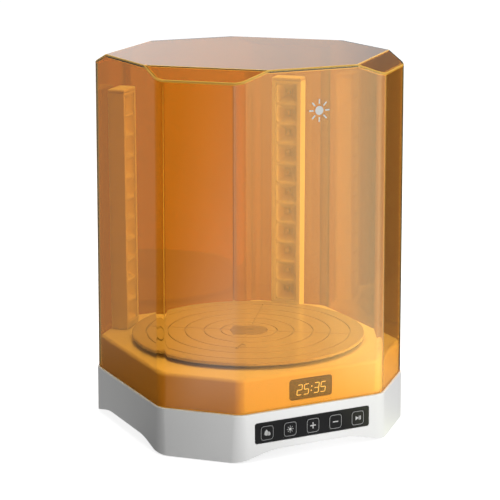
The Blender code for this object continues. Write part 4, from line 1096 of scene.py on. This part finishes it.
def clear_finish():
    """Clear orange acrylic with a faint unevenness in its tint; light passes it without a dark shadow."""
    material = bpy.data.materials.new("clear_orange_acrylic")
    material.use_nodes = True
    tree = material.node_tree
    shader = tree.nodes["Principled BSDF"]
    place = node(tree, "ShaderNodeTexCoord").outputs["Object"]
    drift = node(tree, "ShaderNodeTexNoise", {"Vector": place, "Scale": 9.0, "Detail": 2.0}).outputs["Fac"]
    deep = tuple(part * 0.97 for part in HOOD_TINT)
    tone = ramp(tree, drift, ((0.35, deep), (0.65, HOOD_TINT)), "LINEAR")
    tree.links.new(tone, shader.inputs["Base Color"])
    shader.inputs["Transmission Weight"].default_value = 1.0
    shader.inputs["Roughness"].default_value = 0.0
    shader.inputs["IOR"].default_value = HOOD_INDEX
    shader.inputs["Specular IOR Level"].default_value = 1.0
    ray = node(tree, "ShaderNodeLightPath")
    passing = node(tree, "ShaderNodeBsdfTransparent", {"Color": HOOD_SHADE})
    mixed = node(tree, "ShaderNodeMixShader", {0: ray.outputs["Is Shadow Ray"], 1: shader.outputs[0],
                                               2: passing.outputs[0]})
    tree.links.new(mixed.outputs[0], tree.nodes["Material Output"].inputs["Surface"])
    return material


# Gold, part-clear finish for the hood's rims: painted glow in place of the light that clear sheet gathers at
# its edges.
painted_edge_glow = surface("edge_lit_acrylic", EDGE_GLOW_GOLD, 0.20, speckle=900.0, relief=0.02, shade=0.06)
painted_edge_glow.node_tree.nodes["Principled BSDF"].inputs["Transmission Weight"].default_value = 0.35
hood_hollow = hood_block(HOOD_WALL, HOOD_LOW.z - CUT_PAST, HOOD_HIGH.z - HOOD_WALL)
make("hood_moulding", painted_glow_band(hood_block(0.0, HOOD_LOW.z, HOOD_HIGH.z)), clear_finish(), "cover",
     ("hood",), less=[hood_hollow], edge=0.0007, edge_steps=3, angle=20.0,
     edge_material=painted_edge_glow)
MARK_PLACE = (0.0050, 0.2820)
MARK_SCALE = 3.0


def sun_mark(bm):
    """The sun symbol of the keys, three times as large."""
    sun_symbol(bm)
    bmesh.ops.scale(bm, verts=bm.verts, vec=(MARK_SCALE, MARK_SCALE, 1.0))


share = (MARK_PLACE[1] - HOOD_LOW.z) / (HOOD_SHOULDER[2] - HOOD_LOW.z)
lean = math.atan((HOOD_FOOT[0] - HOOD_SHOULDER[0]) / (HOOD_SHOULDER[2] - HOOD_LOW.z))
front = HOOD_FOOT[0] + (HOOD_SHOULDER[0] - HOOD_FOOT[0]) * share
mark = ink_shape(sun_mark, (0.0, 0.0, 0.0))
rotate(mark, Matrix.Rotation(-lean, 3, "X"))
shift(mark, (MARK_PLACE[0], -front, MARK_PLACE[1]))
make("hood_sun_mark", mark, pale_ink, "cover", edge=0.0)


# ---------------------------------------------------------------- tied lights
# A softbox at the front right lights only the white parts under the hood, which gather the
# light that the sheet lets in, and the low fill lights only the white base below the hood.
# Each is tied to its pieces by a light-linking set.

INSIDE_LIGHT = {"place": (0.46, -0.42, 0.16), "aim": (0.06, -0.05, 0.08), "size": 0.20, "power": 3.0}
INSIDE_PIECES = ("deck_moulding", "turntable_plate", "column_housing_right", "reflector_strip_right")


def tie(light, starts):
    """Let a light reach only the pieces whose names start so."""
    pieces = bpy.data.collections.new(f"{light.name}_pieces")
    for piece in bpy.data.objects:
        if piece.name.startswith(starts):
            pieces.objects.link(piece)
    light.light_linking.receiver_collection = pieces


tie(softbox("inside_softbox", INSIDE_LIGHT), INSIDE_PIECES)
tie(bpy.data.objects["fill_softbox"], ("base_",))
